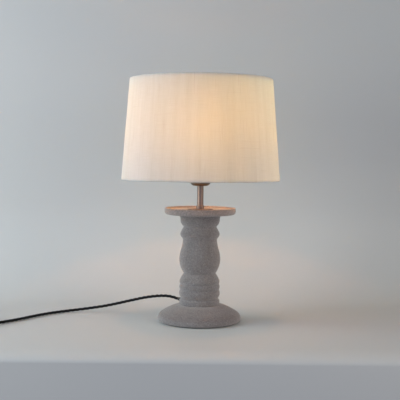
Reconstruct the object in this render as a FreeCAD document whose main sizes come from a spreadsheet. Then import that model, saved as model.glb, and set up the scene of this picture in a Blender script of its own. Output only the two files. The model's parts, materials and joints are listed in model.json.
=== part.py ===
import FreeCAD, Part
import math
import os

from FreeCAD import Placement, Rotation, Vector

# Column table lamp: turned base and baluster column with a dished top, a short metal stem, a lampholder with a
# push-through switch, a bulb, a tapered drum shade on a wire fitter, and a twisted flex that ends in a plug.
# Millimetres. +Z is up, the origin is the centre of the underside, the lamp is seen from -Y.

doc = FreeCAD.newDocument("ColumnTableLamp")
sheet = doc.addObject("Spreadsheet::Sheet", "Dimensions")

SIZES = [
    # base
    ("felt_thickness", 1.5, "felt pad under the base"),
    ("felt_radius", 87.0, ""),
    ("base_radius", 92.5, "outside of the rounded foot"),
    ("ridge_radius", 85.2, "fine step where the rim meets the dome"),
    ("ridge_height", 19.3, ""),
    ("dome_top_height", 37.5, "where the dome meets the foot ring"),
    ("ring_radius", 44.7, "plain ring above the dome"),
    ("base_top_height", 50.0, "joint between base and column, in the first groove"),
    ("groove_radius", 41.7, ""),
    ("recess_radius", 78.0, "shallow recess for the weight"),
    ("recess_top", 13.0, ""),
    ("cavity_radius", 32.0, "wiring cavity"),
    ("cavity_top", 42.0, ""),
    ("rod_hole_radius", 5.25, ""),
    ("spigot_radius", 15.0, "column spigot in the base"),
    ("spigot_gap", 0.1, ""),
    ("screw_circle", 24.0, "screws from base to column"),
    ("ballast_circle", 56.0, "screws that hold the weight"),
    # column
    ("bead_low_radius", 45.4, ""),
    ("bead_mid_radius", 44.9, ""),
    ("ovolo_radius", 44.6, ""),
    ("waist_low_radius", 35.7, "lower V groove"),
    ("waist_low_height", 107.0, ""),
    ("vase_radius", 45.7, "widest part of the vase"),
    ("vase_height", 136.0, ""),
    ("neck_radius", 38.1, "top of the vase"),
    ("neck_height", 181.0, ""),
    ("bead_high_radius", 43.6, ""),
    ("bead_high_height", 194.3, ""),
    ("waist_high_radius", 36.7, "upper V groove"),
    ("waist_high_height", 210.6, ""),
    ("cap_radius", 43.7, "top moulding"),
    ("column_top_height", 237.5, ""),
    # dish
    ("dish_radius", 79.0, ""),
    ("dish_top_height", 252.0, ""),
    ("dish_spigot_radius", 14.0, ""),
    ("dish_floor_height", 248.0, "floor beside the rim"),
    ("dish_centre_height", 246.6, "floor at the stem"),
    ("disc_radius", 28.7, "cover disc in the dish"),
    ("disc_bottom_height", 248.6, ""),
    ("disc_top_height", 250.2, ""),
    # stem
    ("rod_radius", 5.0, "hollow threaded rod"),
    ("rod_bore_radius", 3.6, ""),
    ("rod_bottom_height", 31.0, ""),
    ("rod_top_height", 311.0, ""),
    ("stem_radius", 7.0, ""),
    ("stem_bore_radius", 5.8, ""),
    ("stem_top_height", 301.0, ""),
    ("collar_radius", 8.3, ""),
    ("collar_top_height", 257.6, ""),
    # lampholder
    ("cup_radius", 22.5, ""),
    ("cup_flat_radius", 13.0, ""),
    ("cup_top_height", 325.9, ""),
    ("holder_radius", 22.0, ""),
    ("holder_shoulder_height", 349.0, ""),
    ("sleeve_radius", 19.7, "threaded sleeve"),
    ("sleeve_top_height", 384.0, ""),
    ("switch_height", 338.0, "axis of the push bar"),
    ("switch_bar_radius", 3.0, ""),
    ("switch_bore_radius", 3.08, ""),
    ("clamp_ring_radius", 25.0, "shade rings"),
    ("clamp_ring_bore", 20.05, ""),
    # bulb
    ("bulb_radius", 30.0, ""),
    ("bulb_centre_height", 438.0, ""),
    ("cap_thread_radius", 13.1, ""),
    ("shell_bore_radius", 13.45, ""),
    # shade
    ("shade_bottom_radius", 175.0, ""),
    ("shade_top_radius", 157.6, ""),
    ("shade_bottom_height", 313.5, ""),
    ("shade_top_height", 535.8, ""),
    ("fabric_thickness", 0.8, ""),
    ("liner_thickness", 0.8, ""),
    ("wire_radius", 1.6, "rings in the rolled edges"),
    ("arm_radius", 1.5, "fitter arms"),
    ("fitter_radius", 28.5, ""),
    ("fitter_bore", 21.0, ""),
    ("fitter_bottom_height", 354.2, ""),
    ("fitter_top_height", 355.8, ""),
    # flex
    ("flex_radius", 3.4, "three cores twisted together"),
    ("core_radius", 2.5, "stripped cores inside the lamp"),
    ("coil_inner_radius", 33.9, ""),
    ("coil_outer_radius", 47.5, ""),
    ("coil_bottom_height", 0.9, ""),
    ("coil_top_height", 21.4, ""),
    ("tie_thickness", 0.8, ""),
    ("tie_width", 8.0, ""),
    # plug
    ("plug_split_height", 12.0, "joint between cover and base"),
    ("plug_face_height", 20.0, "pin side"),
    ("pin_length", 17.7, ""),
    ("earth_pin_length", 22.7, ""),
]


class Dim:
    """A size from the table: its value now, and the formula that binds a feature to it."""

    def __init__(self, value, text):
        self.value = float(value)
        self.text = text

    def _join(self, other, sign, value, swap=False):
        text = other.text if isinstance(other, Dim) else repr(float(other))
        left, right = (text, self.text) if swap else (self.text, text)
        return Dim(value, "(%s %s %s)" % (left, sign, right))

    def __add__(self, other):
        return self._join(other, "+", self.value + num(other))

    def __sub__(self, other):
        return self._join(other, "-", self.value - num(other))

    def __rsub__(self, other):
        return self._join(other, "-", num(other) - self.value, swap=True)

    def __mul__(self, other):
        return self._join(other, "*", self.value * num(other))

    __radd__ = __add__
    __rmul__ = __mul__


def num(value):
    return value.value if isinstance(value, Dim) else float(value)


D = {}
for row, (alias, value, note) in enumerate(SIZES, start=1):
    sheet.set("A%d" % row, alias)
    sheet.set("B%d" % row, str(value))
    sheet.setAlias("B%d" % row, alias)
    if note:
        sheet.set("C%d" % row, note)
    D[alias] = Dim(value, "Dimensions." + alias)
doc.recompute()

PARTS = []


def keep(obj, label):
    obj.Label = label
    PARTS.append(obj)
    return obj


def bind(obj, prop, value):
    """Set a property, and bind it where the value comes from the table."""
    if "[" not in prop:
        setattr(obj, prop, num(value))
    if isinstance(value, Dim):
        obj.setExpression(prop, value.text)


def origin_plane(body, role="XZ_Plane"):
    return [f for f in body.Origin.OriginFeatures if f.Role == role][0]


def new_body(label, place=None):
    body = doc.addObject("PartDesign::Body", label)
    if "AllowCompound" in body.PropertiesList:
        body.AllowCompound = True
    if place is not None:
        body.Placement = place
    return keep(body, label)


def outline(body, name, loops, role="XZ_Plane", offset=None):
    """A sketch of closed loops. A loop is a list of corners (x, y) or (x, y, (mx, my)), where the optional third
    entry is a point that the arc from the corner before passes through. A loop of one entry ("circle", x, y, r)
    is a circle."""
    sk = body.newObject("Sketcher::SketchObject", name)
    sk.AttachmentSupport = [(origin_plane(body, role), "")]
    sk.MapMode = "FlatFace"
    if offset is not None:
        sk.AttachmentOffset = offset
    rules, bound = [], []

    def fix(kind, geo, pos, value):
        axis = -2 if kind == "DistanceX" else -1
        if abs(num(value)) < 1e-9 and not isinstance(value, Dim):
            rules.append(Sketcher.Constraint("PointOnObject", geo, pos, axis))
            return
        rules.append(Sketcher.Constraint(kind, -1, 1, geo, pos, num(value)))
        if isinstance(value, Dim):
            bound.append((len(rules) - 1, value.text))

    for loop in loops:
        if loop[0] == "circle":
            _, x, y, r = loop
            g = sk.addGeometry(Part.Circle(Vector(num(x), num(y), 0), Vector(0, 0, 1), num(r)), False)
            fix("DistanceX", g, 3, x)
            fix("DistanceY", g, 3, y)
            rules.append(Sketcher.Constraint("Radius", g, num(r)))
            if isinstance(r, Dim):
                bound.append((len(rules) - 1, r.text))
            continue
        count = len(loop)
        spots = [Vector(num(c[0]), num(c[1]), 0) for c in loop]
        first = None
        ends = []
        for i in range(count):
            a, b = spots[i], spots[(i + 1) % count]
            after = loop[(i + 1) % count]
            if len(after) > 2 and after[2] is not None:
                mid = Vector(num(after[2][0]), num(after[2][1]), 0)
                g = sk.addGeometry(Part.Arc(a, mid, b), False)
                start = 1 if (sk.getPoint(g, 1) - a).Length < 1e-4 else 2
                ends.append((g, start, 3 - start))
                rules.append(Sketcher.Constraint("Radius", g, sk.Geometry[g].Radius))
            else:
                g = sk.addGeometry(Part.LineSegment(a, b), False)
                ends.append((g, 1, 2))
            first = g if first is None else first
        for i in range(count):
            g, start, _ = ends[i]
            before = ends[i - 1]
            rules.append(Sketcher.Constraint("Coincident", before[0], before[2], g, start))
            fix("DistanceX", g, start, loop[i][0])
            fix("DistanceY", g, start, loop[i][1])
    sk.addConstraint(rules)
    for index, text in bound:
        sk.setExpression("Constraints[%d]" % index, text)
    return sk


def revolve(body, name, loops, offset=None, cut=False):
    sk = outline(body, name + "Outline", loops, "XZ_Plane", offset)
    rev = body.newObject("PartDesign::Groove" if cut else "PartDesign::Revolution", name)
    rev.Profile = sk
    rev.ReferenceAxis = (sk, ["V_Axis"])
    rev.Angle = 360.0
    sk.Visibility = False
    return rev


def pad(body, name, loops, length, role="XY_Plane", offset=None, midplane=False, reverse=False):
    sk = outline(body, name + "Outline", loops, role, offset)
    feature = body.newObject("PartDesign::Pad", name)
    feature.Profile = sk
    bind(feature, "Length", length)
    feature.Midplane = midplane
    feature.Reversed = reverse
    sk.Visibility = False
    return feature


def drill(body, name, radius, length, base, turn=None):
    """A round hole cut by a cylinder that starts at base and runs along its own axis."""
    hole = body.newObject("PartDesign::SubtractiveCylinder", name)
    hole.AttachmentSupport = [(origin_plane(body, "XY_Plane"), "")]
    hole.MapMode = "FlatFace"
    bind(hole, "Radius", radius)
    bind(hole, "Height", length)
    hole.AttachmentOffset = Placement(base, turn or Rotation())
    doc.recompute()
    return hole


def around(body, name, feature, count):
    """Repeat a feature round the body's vertical axis."""
    polar = body.newObject("PartDesign::PolarPattern", name)
    polar.Originals = [feature]
    polar.Axis = (origin_plane(body, "Z_Axis"), [""])
    polar.Angle = 360.0
    polar.Occurrences = count
    body.Tip = polar
    doc.recompute()
    return polar


import Sketcher

# ---------------------------------------------------------------- base
felt = new_body("felt_pad")
revolve(felt, "FeltDisc", [[(0, 0), (D["felt_radius"], 0), (D["felt_radius"], D["felt_thickness"]),
                            (0, D["felt_thickness"])]])

base = new_body("base_foot")
rim = D["base_radius"]
revolve(base, "BaseTurning", [[
    (D["rod_hole_radius"], D["cavity_top"]),
    (D["cavity_radius"], D["cavity_top"]),
    (D["cavity_radius"], D["recess_top"]),
    (D["recess_radius"], D["recess_top"]),
    (D["recess_radius"], D["felt_thickness"]),
    (rim - 3.3, D["felt_thickness"]),
    (rim - 0.1, 5.2, (91.45, 2.75)),
    (rim, 8.0),
    (D["ridge_radius"], D["ridge_height"], (90.2, 14.4)),
    (D["ridge_radius"] - 0.5, D["ridge_height"] - 0.25),
    (D["ridge_radius"] - 1.3, D["ridge_height"] + 0.9),
    (D["ring_radius"] + 1.6, D["dome_top_height"], (66.2, 30.2)),
    (D["ring_radius"] - 0.3, D["dome_top_height"] - 0.1),
    (D["ring_radius"] - 0.3, D["dome_top_height"] + 0.5),
    (D["ring_radius"], D["dome_top_height"] + 1.6),
    (D["ring_radius"], D["base_top_height"] - 4.6),
    (D["groove_radius"], D["base_top_height"] - 1.2, (43.9, 48.1)),
    (D["groove_radius"], D["base_top_height"]),
    (D["spigot_radius"] + D["spigot_gap"], D["base_top_height"]),
    (D["spigot_radius"] + D["spigot_gap"], D["base_top_height"] - 4.0),
    (D["rod_hole_radius"], D["base_top_height"] - 4.0),
]])
hole = drill(base, "ColumnScrewHole", 2.3, 12.0, Vector(0, num(D["screw_circle"]), 40.0))
around(base, "ColumnScrewHoles", hole, 3)
hole = drill(base, "BallastScrewHole", 2.05, 8.0, Vector(num(D["ballast_circle"]), 0, 12.5))
around(base, "BallastScrewHoles", hole, 3)

# The flex leaves the foot ring at the back left, 150 degrees round from +X and 12.6 degrees upwards.
EXIT_TURN = math.radians(150.0)
EXIT_RISE = math.radians(12.6)
EXIT_DIR = Vector(math.cos(EXIT_TURN) * math.cos(EXIT_RISE), math.sin(EXIT_TURN) * math.cos(EXIT_RISE),
                  math.sin(EXIT_RISE))
EXIT_AT = Vector(44.4 * math.cos(EXIT_TURN), 44.4 * math.sin(EXIT_TURN), 41.6)
ALONG_EXIT = Rotation(Vector(0, 0, 1), EXIT_DIR)
drill(base, "FlexHole", 4.1, 18.0, EXIT_AT - EXIT_DIR * 14.0, ALONG_EXIT)
# two blind holes for the clamp's screws, either side of the flex
CLAMP_AT = 25.0
TANGENT = Vector(-math.sin(EXIT_TURN), math.cos(EXIT_TURN), 0)
OUTWARD = Vector(math.cos(EXIT_TURN), math.sin(EXIT_TURN), 0)
for side in (-1, 1):
    drill(base, "ClampScrewHole%s" % ("A" if side < 0 else "B"), 1.45, 5.0,
          OUTWARD * CLAMP_AT + TANGENT * (7.5 * side) + Vector(0, 0, 41.0))

weight = new_body("ballast_weight")
revolve(weight, "WeightRing", [[(36.0, 3.0), (D["recess_radius"] - 2.0, 3.0), (D["recess_radius"] - 2.0, 11.6),
                                (D["recess_radius"] - 3.0, 12.6), (37.0, 12.6), (36.0, 11.6)]])
hole = drill(weight, "WeightHole", 2.4, 12.0, Vector(num(D["ballast_circle"]), 0, 2.0))
around(weight, "WeightHoles", hole, 3)
sink = revolve(weight, "WeightCountersink", [[(0, 2.5), (5.1, 2.5), (5.1, 3.2), (2.4, 6.0), (0, 6.0)]],
               Placement(Vector(num(D["ballast_circle"]), 0, 0), Rotation()), cut=True)
around(weight, "WeightCountersinks", sink, 3)

screws = new_body("ballast_screws")
screw = revolve(screws, "BallastScrew", [[(0, 3.1), (4.6, 3.1), (4.6, 3.5), (2.0, 6.1), (2.0, 19.0), (0, 20.2)]],
                Placement(Vector(num(D["ballast_circle"]), 0, 0), Rotation()))
around(screws, "BallastScrewSet", screw, 3)

# ---------------------------------------------------------------- column
column = new_body("column_shaft")
gr = D["groove_radius"]
revolve(column, "ColumnTurning", [[
    (D["rod_hole_radius"], D["base_top_height"] - 3.9),
    (D["spigot_radius"], D["base_top_height"] - 3.9),
    (D["spigot_radius"], D["base_top_height"]),
    (gr, D["base_top_height"]),
    (gr, D["base_top_height"] + 2.2),
    (gr + 0.5, D["base_top_height"] + 3.4),
    (43.2, 70.0, (D["bead_low_radius"], 62.6)),
    (43.2, 71.0),
    (43.2, 82.6, (D["bead_mid_radius"] + 0.1, 76.8)),
    (43.2, 83.6),
    (43.7, 92.6, (D["ovolo_radius"] + 0.05, 88.0)),
    (D["waist_low_radius"], D["waist_low_height"] - 0.5, (40.4, 99.4)),
    (D["waist_low_radius"], D["waist_low_height"] + 0.5),
    (D["vase_radius"], D["vase_height"], (41.9, 119.0)),
    (42.4, 158.5, (44.9, 148.0)),
    (D["neck_radius"], D["neck_height"], (39.5, 170.5)),
    (D["neck_radius"] + 0.2, D["neck_height"] + 2.2),
    (39.4, 185.6),
    (42.4, 199.4, (D["bead_high_radius"], D["bead_high_height"] - 1.0)),
    (D["waist_high_radius"], D["waist_high_height"] - 0.5),
    (D["waist_high_radius"], D["waist_high_height"] + 0.6),
    (D["cap_radius"], 223.4, (40.9, 216.0)),
    (D["cap_radius"], 226.0),
    (49.0, D["column_top_height"], (44.9, 232.4)),
    (D["dish_spigot_radius"] + 0.1, D["column_top_height"]),
    (D["dish_spigot_radius"] + 0.1, D["column_top_height"] - 4.0),
    (D["rod_hole_radius"], D["column_top_height"] - 4.0),
]])
hole = drill(column, "PilotHole", 2.25, 18.0, Vector(0, num(D["screw_circle"]), 49.0))
around(column, "PilotHoles", hole, 3)

screws = new_body("column_screws")
screw = revolve(screws, "ColumnScrew", [[(0, 39.0), (3.2, 39.0), (4.2, 40.2, (3.95, 39.35)), (4.2, 41.95),
                                         (2.2, 41.95), (2.2, 62.0), (0, 65.5)]],
                Placement(Vector(0, 0, -num(D["screw_circle"])), Rotation()))
around(screws, "ColumnScrewSet", screw, 3)

dish = new_body("top_dish")
rt = D["dish_top_height"]
cb = D["column_top_height"]
revolve(dish, "DishTurning", [[
    (D["rod_hole_radius"], cb - 3.9),
    (D["dish_spigot_radius"], cb - 3.9),
    (D["dish_spigot_radius"], cb),
    (D["dish_radius"] - 7.0, cb),
    (D["dish_radius"] - 0.9, cb + 3.4, (75.6, 238.4)),
    (D["dish_radius"], cb + 6.6, (78.75, 242.4)),
    (D["dish_radius"] - 0.1, rt - 0.9),
    (D["dish_radius"] - 0.9, rt, (78.63, 251.76)),
    (D["dish_radius"] - 2.0, rt),
    (D["dish_radius"] - 2.7, rt - 0.6, (76.5, 251.8)),
    (D["dish_radius"] - 8.2, D["dish_floor_height"], (74.1, 249.1)),
    (13.0, D["dish_centre_height"]),
    (D["rod_hole_radius"], D["dish_centre_height"]),
]])

spacer = new_body("dish_spacer")
revolve(spacer, "SpacerWasher", [[(D["rod_hole_radius"], D["dish_centre_height"]), (11.0, D["dish_centre_height"]),
                                  (11.0, D["disc_bottom_height"]), (D["rod_hole_radius"], D["disc_bottom_height"])]])

disc = new_body("dish_disc")
revolve(disc, "CoverDisc", [[
    (D["rod_hole_radius"], D["disc_bottom_height"]),
    (D["disc_radius"] - 0.7, D["disc_bottom_height"]),
    (D["disc_radius"], D["disc_bottom_height"] + 0.7),
    (D["disc_radius"] - 0.2, D["disc_top_height"] - 0.3),
    (D["disc_radius"] - 0.8, D["disc_top_height"]),
    (D["rod_hole_radius"], D["disc_top_height"]),
]])

collar = new_body("stem_collar")
revolve(collar, "CollarRing", [[
    (D["stem_radius"] + 0.08, D["disc_top_height"]),
    (D["collar_radius"], D["disc_top_height"]),
    (D["collar_radius"], D["collar_top_height"] - 0.8),
    (D["collar_radius"] - 0.6, D["collar_top_height"]),
    (D["stem_radius"] + 0.08, D["collar_top_height"]),
]])

stem = new_body("stem_tube")
revolve(stem, "StemTube", [[
    (D["stem_bore_radius"], D["disc_top_height"]),
    (D["stem_radius"], D["disc_top_height"]),
    (D["stem_radius"], D["stem_top_height"]),
    (D["stem_bore_radius"], D["stem_top_height"]),
]])

rod = new_body("threaded_rod")
revolve(rod, "HollowRod", [[
    (D["rod_bore_radius"], D["rod_bottom_height"]),
    (D["rod_radius"] - 0.6, D["rod_bottom_height"]),
    (D["rod_radius"], D["rod_bottom_height"] + 0.6),
    (D["rod_radius"], D["rod_top_height"] - 0.6),
    (D["rod_radius"] - 0.6, D["rod_top_height"]),
    (D["rod_bore_radius"], D["rod_top_height"]),
]])

washer = new_body("rod_washer")
revolve(washer, "RodWasher", [[(D["rod_hole_radius"], D["cavity_top"] - 1.6), (12.0, D["cavity_top"] - 1.6),
                               (12.0, D["cavity_top"]), (D["rod_hole_radius"], D["cavity_top"])]])


def hexagon(flats):
    out = []
    for k in range(6):
        a = math.radians(60.0 * k + 30.0)
        out.append((flats / math.sqrt(3.0) * math.cos(a), flats / math.sqrt(3.0) * math.sin(a)))
    return out


nut = new_body("rod_nut")
pad(nut, "HexNut", [hexagon(16.0), ("circle", 0, 0, D["rod_radius"] + 0.04)], 6.8, "XY_Plane",
    Placement(Vector(0, 0, num(D["cavity_top"]) - 1.6 - 6.8), Rotation()))

# ---------------------------------------------------------------- inside the base: clamp, strain relief, cores
FLEX_TILT = Placement(OUTWARD * CLAMP_AT, Rotation(Vector(0, 0, 1), 150.0))
clamp = new_body("flex_clamp", FLEX_TILT)
pad(clamp, "ClampBlock", [[(-3.0, -11.0), (3.0, -11.0), (3.0, 11.0), (-3.0, 11.0)]], 8.6, "XY_Plane",
    Placement(Vector(0, 0, 33.3), Rotation()))
drill(clamp, "ClampBore", D["core_radius"] + 0.6, 12.0, Vector(-6.0, 0, 35.95), Rotation(Vector(0, 0, 1), Vector(1, 0, 0.2235)))
for side in (-1, 1):
    drill(clamp, "ClampHole%s" % ("A" if side < 0 else "B"), 1.6, 12.0, Vector(0, 7.5 * side, 32.0))
screws = new_body("clamp_screws", FLEX_TILT)
for side in (-1, 1):
    revolve(screws, "ClampScrew%s" % ("A" if side < 0 else "B"),
            [[(0, 31.4), (2.1, 31.4), (2.7, 32.0), (2.7, 33.25), (1.4, 33.25), (1.4, 45.0), (0, 45.9)]],
            Placement(Vector(0, 0, 7.5 * side), Rotation()))

relief = new_body("strain_relief", Placement(EXIT_AT, ALONG_EXIT))
fr = D["flex_radius"]
revolve(relief, "ReliefSleeve", [[
    (D["core_radius"] + 0.1, -14.0),
    (3.4, -14.0),
    (3.95, -13.0),
    (3.95, 2.0),
    (fr + 1.15, 2.1),
    (fr + 1.15, 3.0),
    (fr + 0.9, 3.6),
    (fr + 0.38, 10.0),
    (fr + 0.06, 10.0),
    (fr + 0.06, -2.0),
    (D["core_radius"] + 0.1, -2.0),
]])


def soft_route(points):
    """Straight runs joined by tangent arcs, each as large as its two runs allow."""
    pts = [Vector(*p) for p in points]
    edges, radii, here = [], [], pts[0]
    for i in range(1, len(pts) - 1):
        back, ahead = pts[i - 1] - pts[i], pts[i + 1] - pts[i]
        turn = math.pi - back.getAngle(ahead)
        reach = 0.45 * min(back.Length, ahead.Length)
        radii.append(reach / math.tan(turn / 2.0))
        a = pts[i] + back.normalize() * reach
        b = pts[i] + ahead.normalize() * reach
        middle = (back + ahead).normalize()
        centre = pts[i] + middle * (radii[-1] / math.cos(turn / 2.0))
        mid = centre - middle * radii[-1]
        edges.append(Part.LineSegment(here, a).toShape())
        edges.append(Part.Arc(a, mid, b).toShape())
        here = b
    edges.append(Part.LineSegment(here, pts[-1]).toShape())
    return Part.Wire(edges), radii


def flex_tube(label, points, radius):
    """A plain round tube along a route."""
    wire, radii = soft_route(points)
    start = Vector(*points[0])
    way = Vector(*points[1]) - start
    ring = Part.Wire([Part.Circle(start, way, num(radius)).toShape()])
    solid = wire.makePipeShell([ring], True, True)
    if solid.ShapeType != "Solid":
        solid = Part.Solid(solid)
    ideal = math.pi * num(radius) ** 2 * wire.Length
    print("%s: length %.1f, smallest radius %.1f, volume %.4f of section times length, radii %s"
          % (label, wire.Length, min(radii), solid.Volume / ideal, [round(r) for r in radii]))
    obj = doc.addObject("Part::Feature", label)
    obj.Shape = solid
    obj.Placement = Placement()
    return keep(obj, label)


def in_exit_plane(rho, height):
    return (rho * math.cos(EXIT_TURN), rho * math.sin(EXIT_TURN), height)


start = EXIT_AT - EXIT_DIR * 2.3
flex_tube("inner_flex", [tuple(start), in_exit_plane(17.0, 35.5), in_exit_plane(12.4, 24.5), (0, 0, 17.5),
                         (0, 0, 318.0)], D["core_radius"])

# ---------------------------------------------------------------- lampholder
cup = new_body("lampholder_cup")
cr = D["cup_radius"]
cz = D["stem_top_height"]
revolve(cup, "CupSpinning", [[
    (D["rod_radius"] + 0.04, cz),
    (D["cup_flat_radius"], cz),
    (cr, cz + 8.6, (19.35, 303.35)),
    (cr, D["cup_top_height"]),
    (cr - 1.05, D["cup_top_height"]),
    (cr - 1.05, cz + 9.0),
    (D["cup_flat_radius"] - 0.4, cz + 1.1, (18.5, 304.5)),
    (8.2, cz + 1.1),
    (8.2, cz + 10.0),
    (D["rod_radius"] + 0.04, cz + 10.0),
]])
drill(cup, "LockHole", 1.52, 6.0, Vector(0, 19.0, 317.0), Rotation(Vector(0, 0, 1), Vector(0, 1, 0)))

lock = new_body("cup_lock_screw", Placement(Vector(0, 21.5, 317.0), Rotation(Vector(0, 0, 1), Vector(0, 1, 0))))
revolve(lock, "LockScrew", [[(0, 0), (0.9, 0), (1.48, 0.6), (1.48, 2.6), (0, 2.6)]])

shell = new_body("lampholder_shell")
sh = D["holder_shoulder_height"]
revolve(shell, "ShellSpinning", [[
    (21.35, 318.0),
    (21.35, 326.0),
    (D["holder_radius"], 326.0),
    (D["holder_radius"], sh - 0.6),
    (D["holder_radius"] - 0.6, sh),
    (D["sleeve_radius"], sh),
    (D["sleeve_radius"], D["sleeve_top_height"] - 0.5),
    (D["sleeve_radius"] - 0.5, D["sleeve_top_height"]),
    (D["sleeve_radius"] - 0.95, D["sleeve_top_height"]),
    (D["sleeve_radius"] - 0.95, sh - 1.0),
    (D["holder_radius"] - 1.0, sh - 1.0),
    (D["holder_radius"] - 1.0, 326.9),
    (20.4, 326.4),
    (20.4, 318.0),
]])
drill(shell, "BarHoles", D["switch_bore_radius"] + 0.15, 60.0, Vector(-30.0, 0, num(D["switch_height"])),
      Rotation(Vector(0, 0, 1), Vector(1, 0, 0)))

block = new_body("switch_block")
revolve(block, "BlockMoulding", [[(0, 328.2), (19.4, 328.2), (20.2, 329.0), (20.2, 347.6), (0, 347.6)]])
drill(block, "BarBore", D["switch_bore_radius"], 60.0, Vector(-30.0, 0, num(D["switch_height"])),
      Rotation(Vector(0, 0, 1), Vector(1, 0, 0)))
hole = drill(block, "TerminalHole", 1.6, 6.5, Vector(0, 12.0, 327.5))
around(block, "TerminalHoles", hole, 3)

terminals = new_body("terminal_screws")
screw = revolve(terminals, "TerminalScrew", [[(0, 326.3), (2.2, 326.3), (2.6, 326.7), (2.6, 328.1), (1.5, 328.1),
                                              (1.5, 333.6), (0, 333.6)]],
                Placement(Vector(0, 0, -12.0), Rotation()))
around(terminals, "TerminalSet", screw, 3)

insert = new_body("contact_insert")
revolve(insert, "InsertMoulding", [[(0, 347.6), (18.4, 347.6), (18.4, 360.0), (17.6, 361.0), (9.0, 361.0),
                                    (9.0, 357.0), (0, 357.0)]])

tongue = new_body("centre_contact")
pad(tongue, "TongueStrip", [[(-6.0, 357.0), (6.0, 357.0), (6.0, 357.6), (-3.6, 357.6), (2.6, 360.7), (2.6, 361.3),
                             (-6.0, 357.9)]], 5.0, "XZ_Plane", midplane=True)

socket = new_body("screw_shell")
sb = D["shell_bore_radius"]
revolve(socket, "ShellThread", [[
    (sb, 361.0),
    (sb + 2.6, 361.0),
    (sb + 2.6, 361.7),
    (sb + 0.9, 361.9),
    (sb + 0.9, 383.2),
    (sb + 0.3, 383.2),
    (sb, 381.4, (sb + 0.02, 382.4)),
]])

low_ring = new_body("lower_shade_ring")
cb_ring = D["clamp_ring_bore"]
ro = D["clamp_ring_radius"]
revolve(low_ring, "LowerRing", [[
    (D["sleeve_radius"] + 0.06, 349.1),
    (ro - 0.8, 349.1),
    (ro, 349.9),
    (ro, 353.1),
    (ro - 0.8, 353.9),
    (D["sleeve_radius"] + 0.06, 353.9),
]])

# ---------------------------------------------------------------- push bar, which slides through the holder
AT_BAR = Placement(Vector(0, 0, 338.0), Rotation(Vector(0, 0, 1), Vector(1, 0, 0)))
bar = new_body("switch_bar", AT_BAR)
br = D["switch_bar_radius"]
revolve(bar, "PushBar", [[(0, -28.0), (br - 0.4, -28.0), (br, -27.6), (br, 32.6), (br - 0.4, 33.0), (0, 33.0)]])
tips = new_body("switch_tips", AT_BAR)
revolve(tips, "LeftTip", [[(br + 0.02, -24.0), (3.9, -24.0), (4.3, -24.4), (4.3, -28.6), (2.6, -30.6, (3.9, -30.05)),
                           (0, -30.9), (0, -28.05), (br + 0.02, -28.05)]])
revolve(tips, "RightTip", [[(br + 0.02, 29.0), (3.9, 29.0), (4.3, 29.4), (4.3, 33.6), (2.6, 35.6, (3.9, 35.05)),
                            (0, 35.9), (0, 33.05), (br + 0.02, 33.05)]])

# ---------------------------------------------------------------- retaining ring, which unscrews upwards
high_ring = new_body("retaining_ring")
ridges = [
    (cb_ring, 356.1),
    (ro, 356.1),
    (ro, 357.3),
    (ro - 1.4, 358.5),
    (ro - 1.4, 363.6),
    (ro - 2.2, 364.6),
    (cb_ring, 364.6),
]
revolve(high_ring, "UpperRing", [ridges])

# ---------------------------------------------------------------- bulb
cap = new_body("bulb_cap")
tr = D["cap_thread_radius"]
thread = []
height = 365.4
while height < 383.0:
    thread.append((tr - 0.5, height))
    thread.append((tr - 0.5, height + 3.6, (tr, height + 1.8)))
    height += 3.65
revolve(cap, "CapThread", [[(11.2, 363.2), (tr - 1.4, 363.2)] + thread + [
    (tr - 0.6, 385.2), (tr - 0.6, 388.6), (11.9, 388.6), (11.9, 365.2)]])

glassy = new_body("bulb_insulator")
revolve(glassy, "InsulatorCone", [[(0, 361.9), (4.8, 361.9), (11.1, 363.2), (11.1, 364.4), (0, 364.4)]])
eyelet = new_body("bulb_contact")
revolve(eyelet, "ContactEyelet", [[(0, 361.35), (2.6, 361.35), (4.4, 361.85), (0, 361.85)]])

globe = new_body("bulb_glass")
gb = D["bulb_radius"]
gz = D["bulb_centre_height"]
revolve(globe, "GlassEnvelope", [[
    (11.8, 384.0),
    (11.8, 388.8),
    (12.6, 389.2),
    (14.6, 399.0, (13.3, 394.0)),
    (gb - 2.6, gz - 14.8, (20.3, 411.3)),
    (gb, gz, (29.3, 430.4)),
    (2.0, gz + gb - 0.067, (21.92, 458.48)),
    (0, gz + gb - 0.067),
    (0, gz + gb - 0.969),
    (2.0, gz + gb - 0.969),
    (gb - 0.9, gz, (21.26, 457.87)),
    (gb - 3.4, gz - 14.5, (28.42, 430.6)),
    (13.7, 399.2, (19.4, 411.7)),
    (11.0, 388.8, (12.35, 394.1)),
    (11.0, 384.0),
]])

mount = new_body("bulb_stem")
revolve(mount, "GlassStem", [[(0, 385.0), (8.5, 385.0), (8.5, 386.0), (4.0, 392.0), (3.0, 412.0), (2.2, 446.0),
                              (0, 447.2)]])
sticks = new_body("bulb_filaments")
stick = revolve(sticks, "Filament", [[(0, 415.0), (0.8, 415.6), (0.8, 448.4), (0, 449.0)]],
                Placement(Vector(9.0, 0, 0), Rotation()))
around(sticks, "FilamentSet", stick, 4)

# ---------------------------------------------------------------- shade
sr, st = D["shade_bottom_radius"], D["shade_top_radius"]
zb, zt = D["shade_bottom_height"], D["shade_top_height"]
ft, lt = D["fabric_thickness"], D["liner_thickness"]
wr = D["wire_radius"]
SLOPE = (num(sr) - num(st)) / (num(zt) - num(zb))

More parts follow.
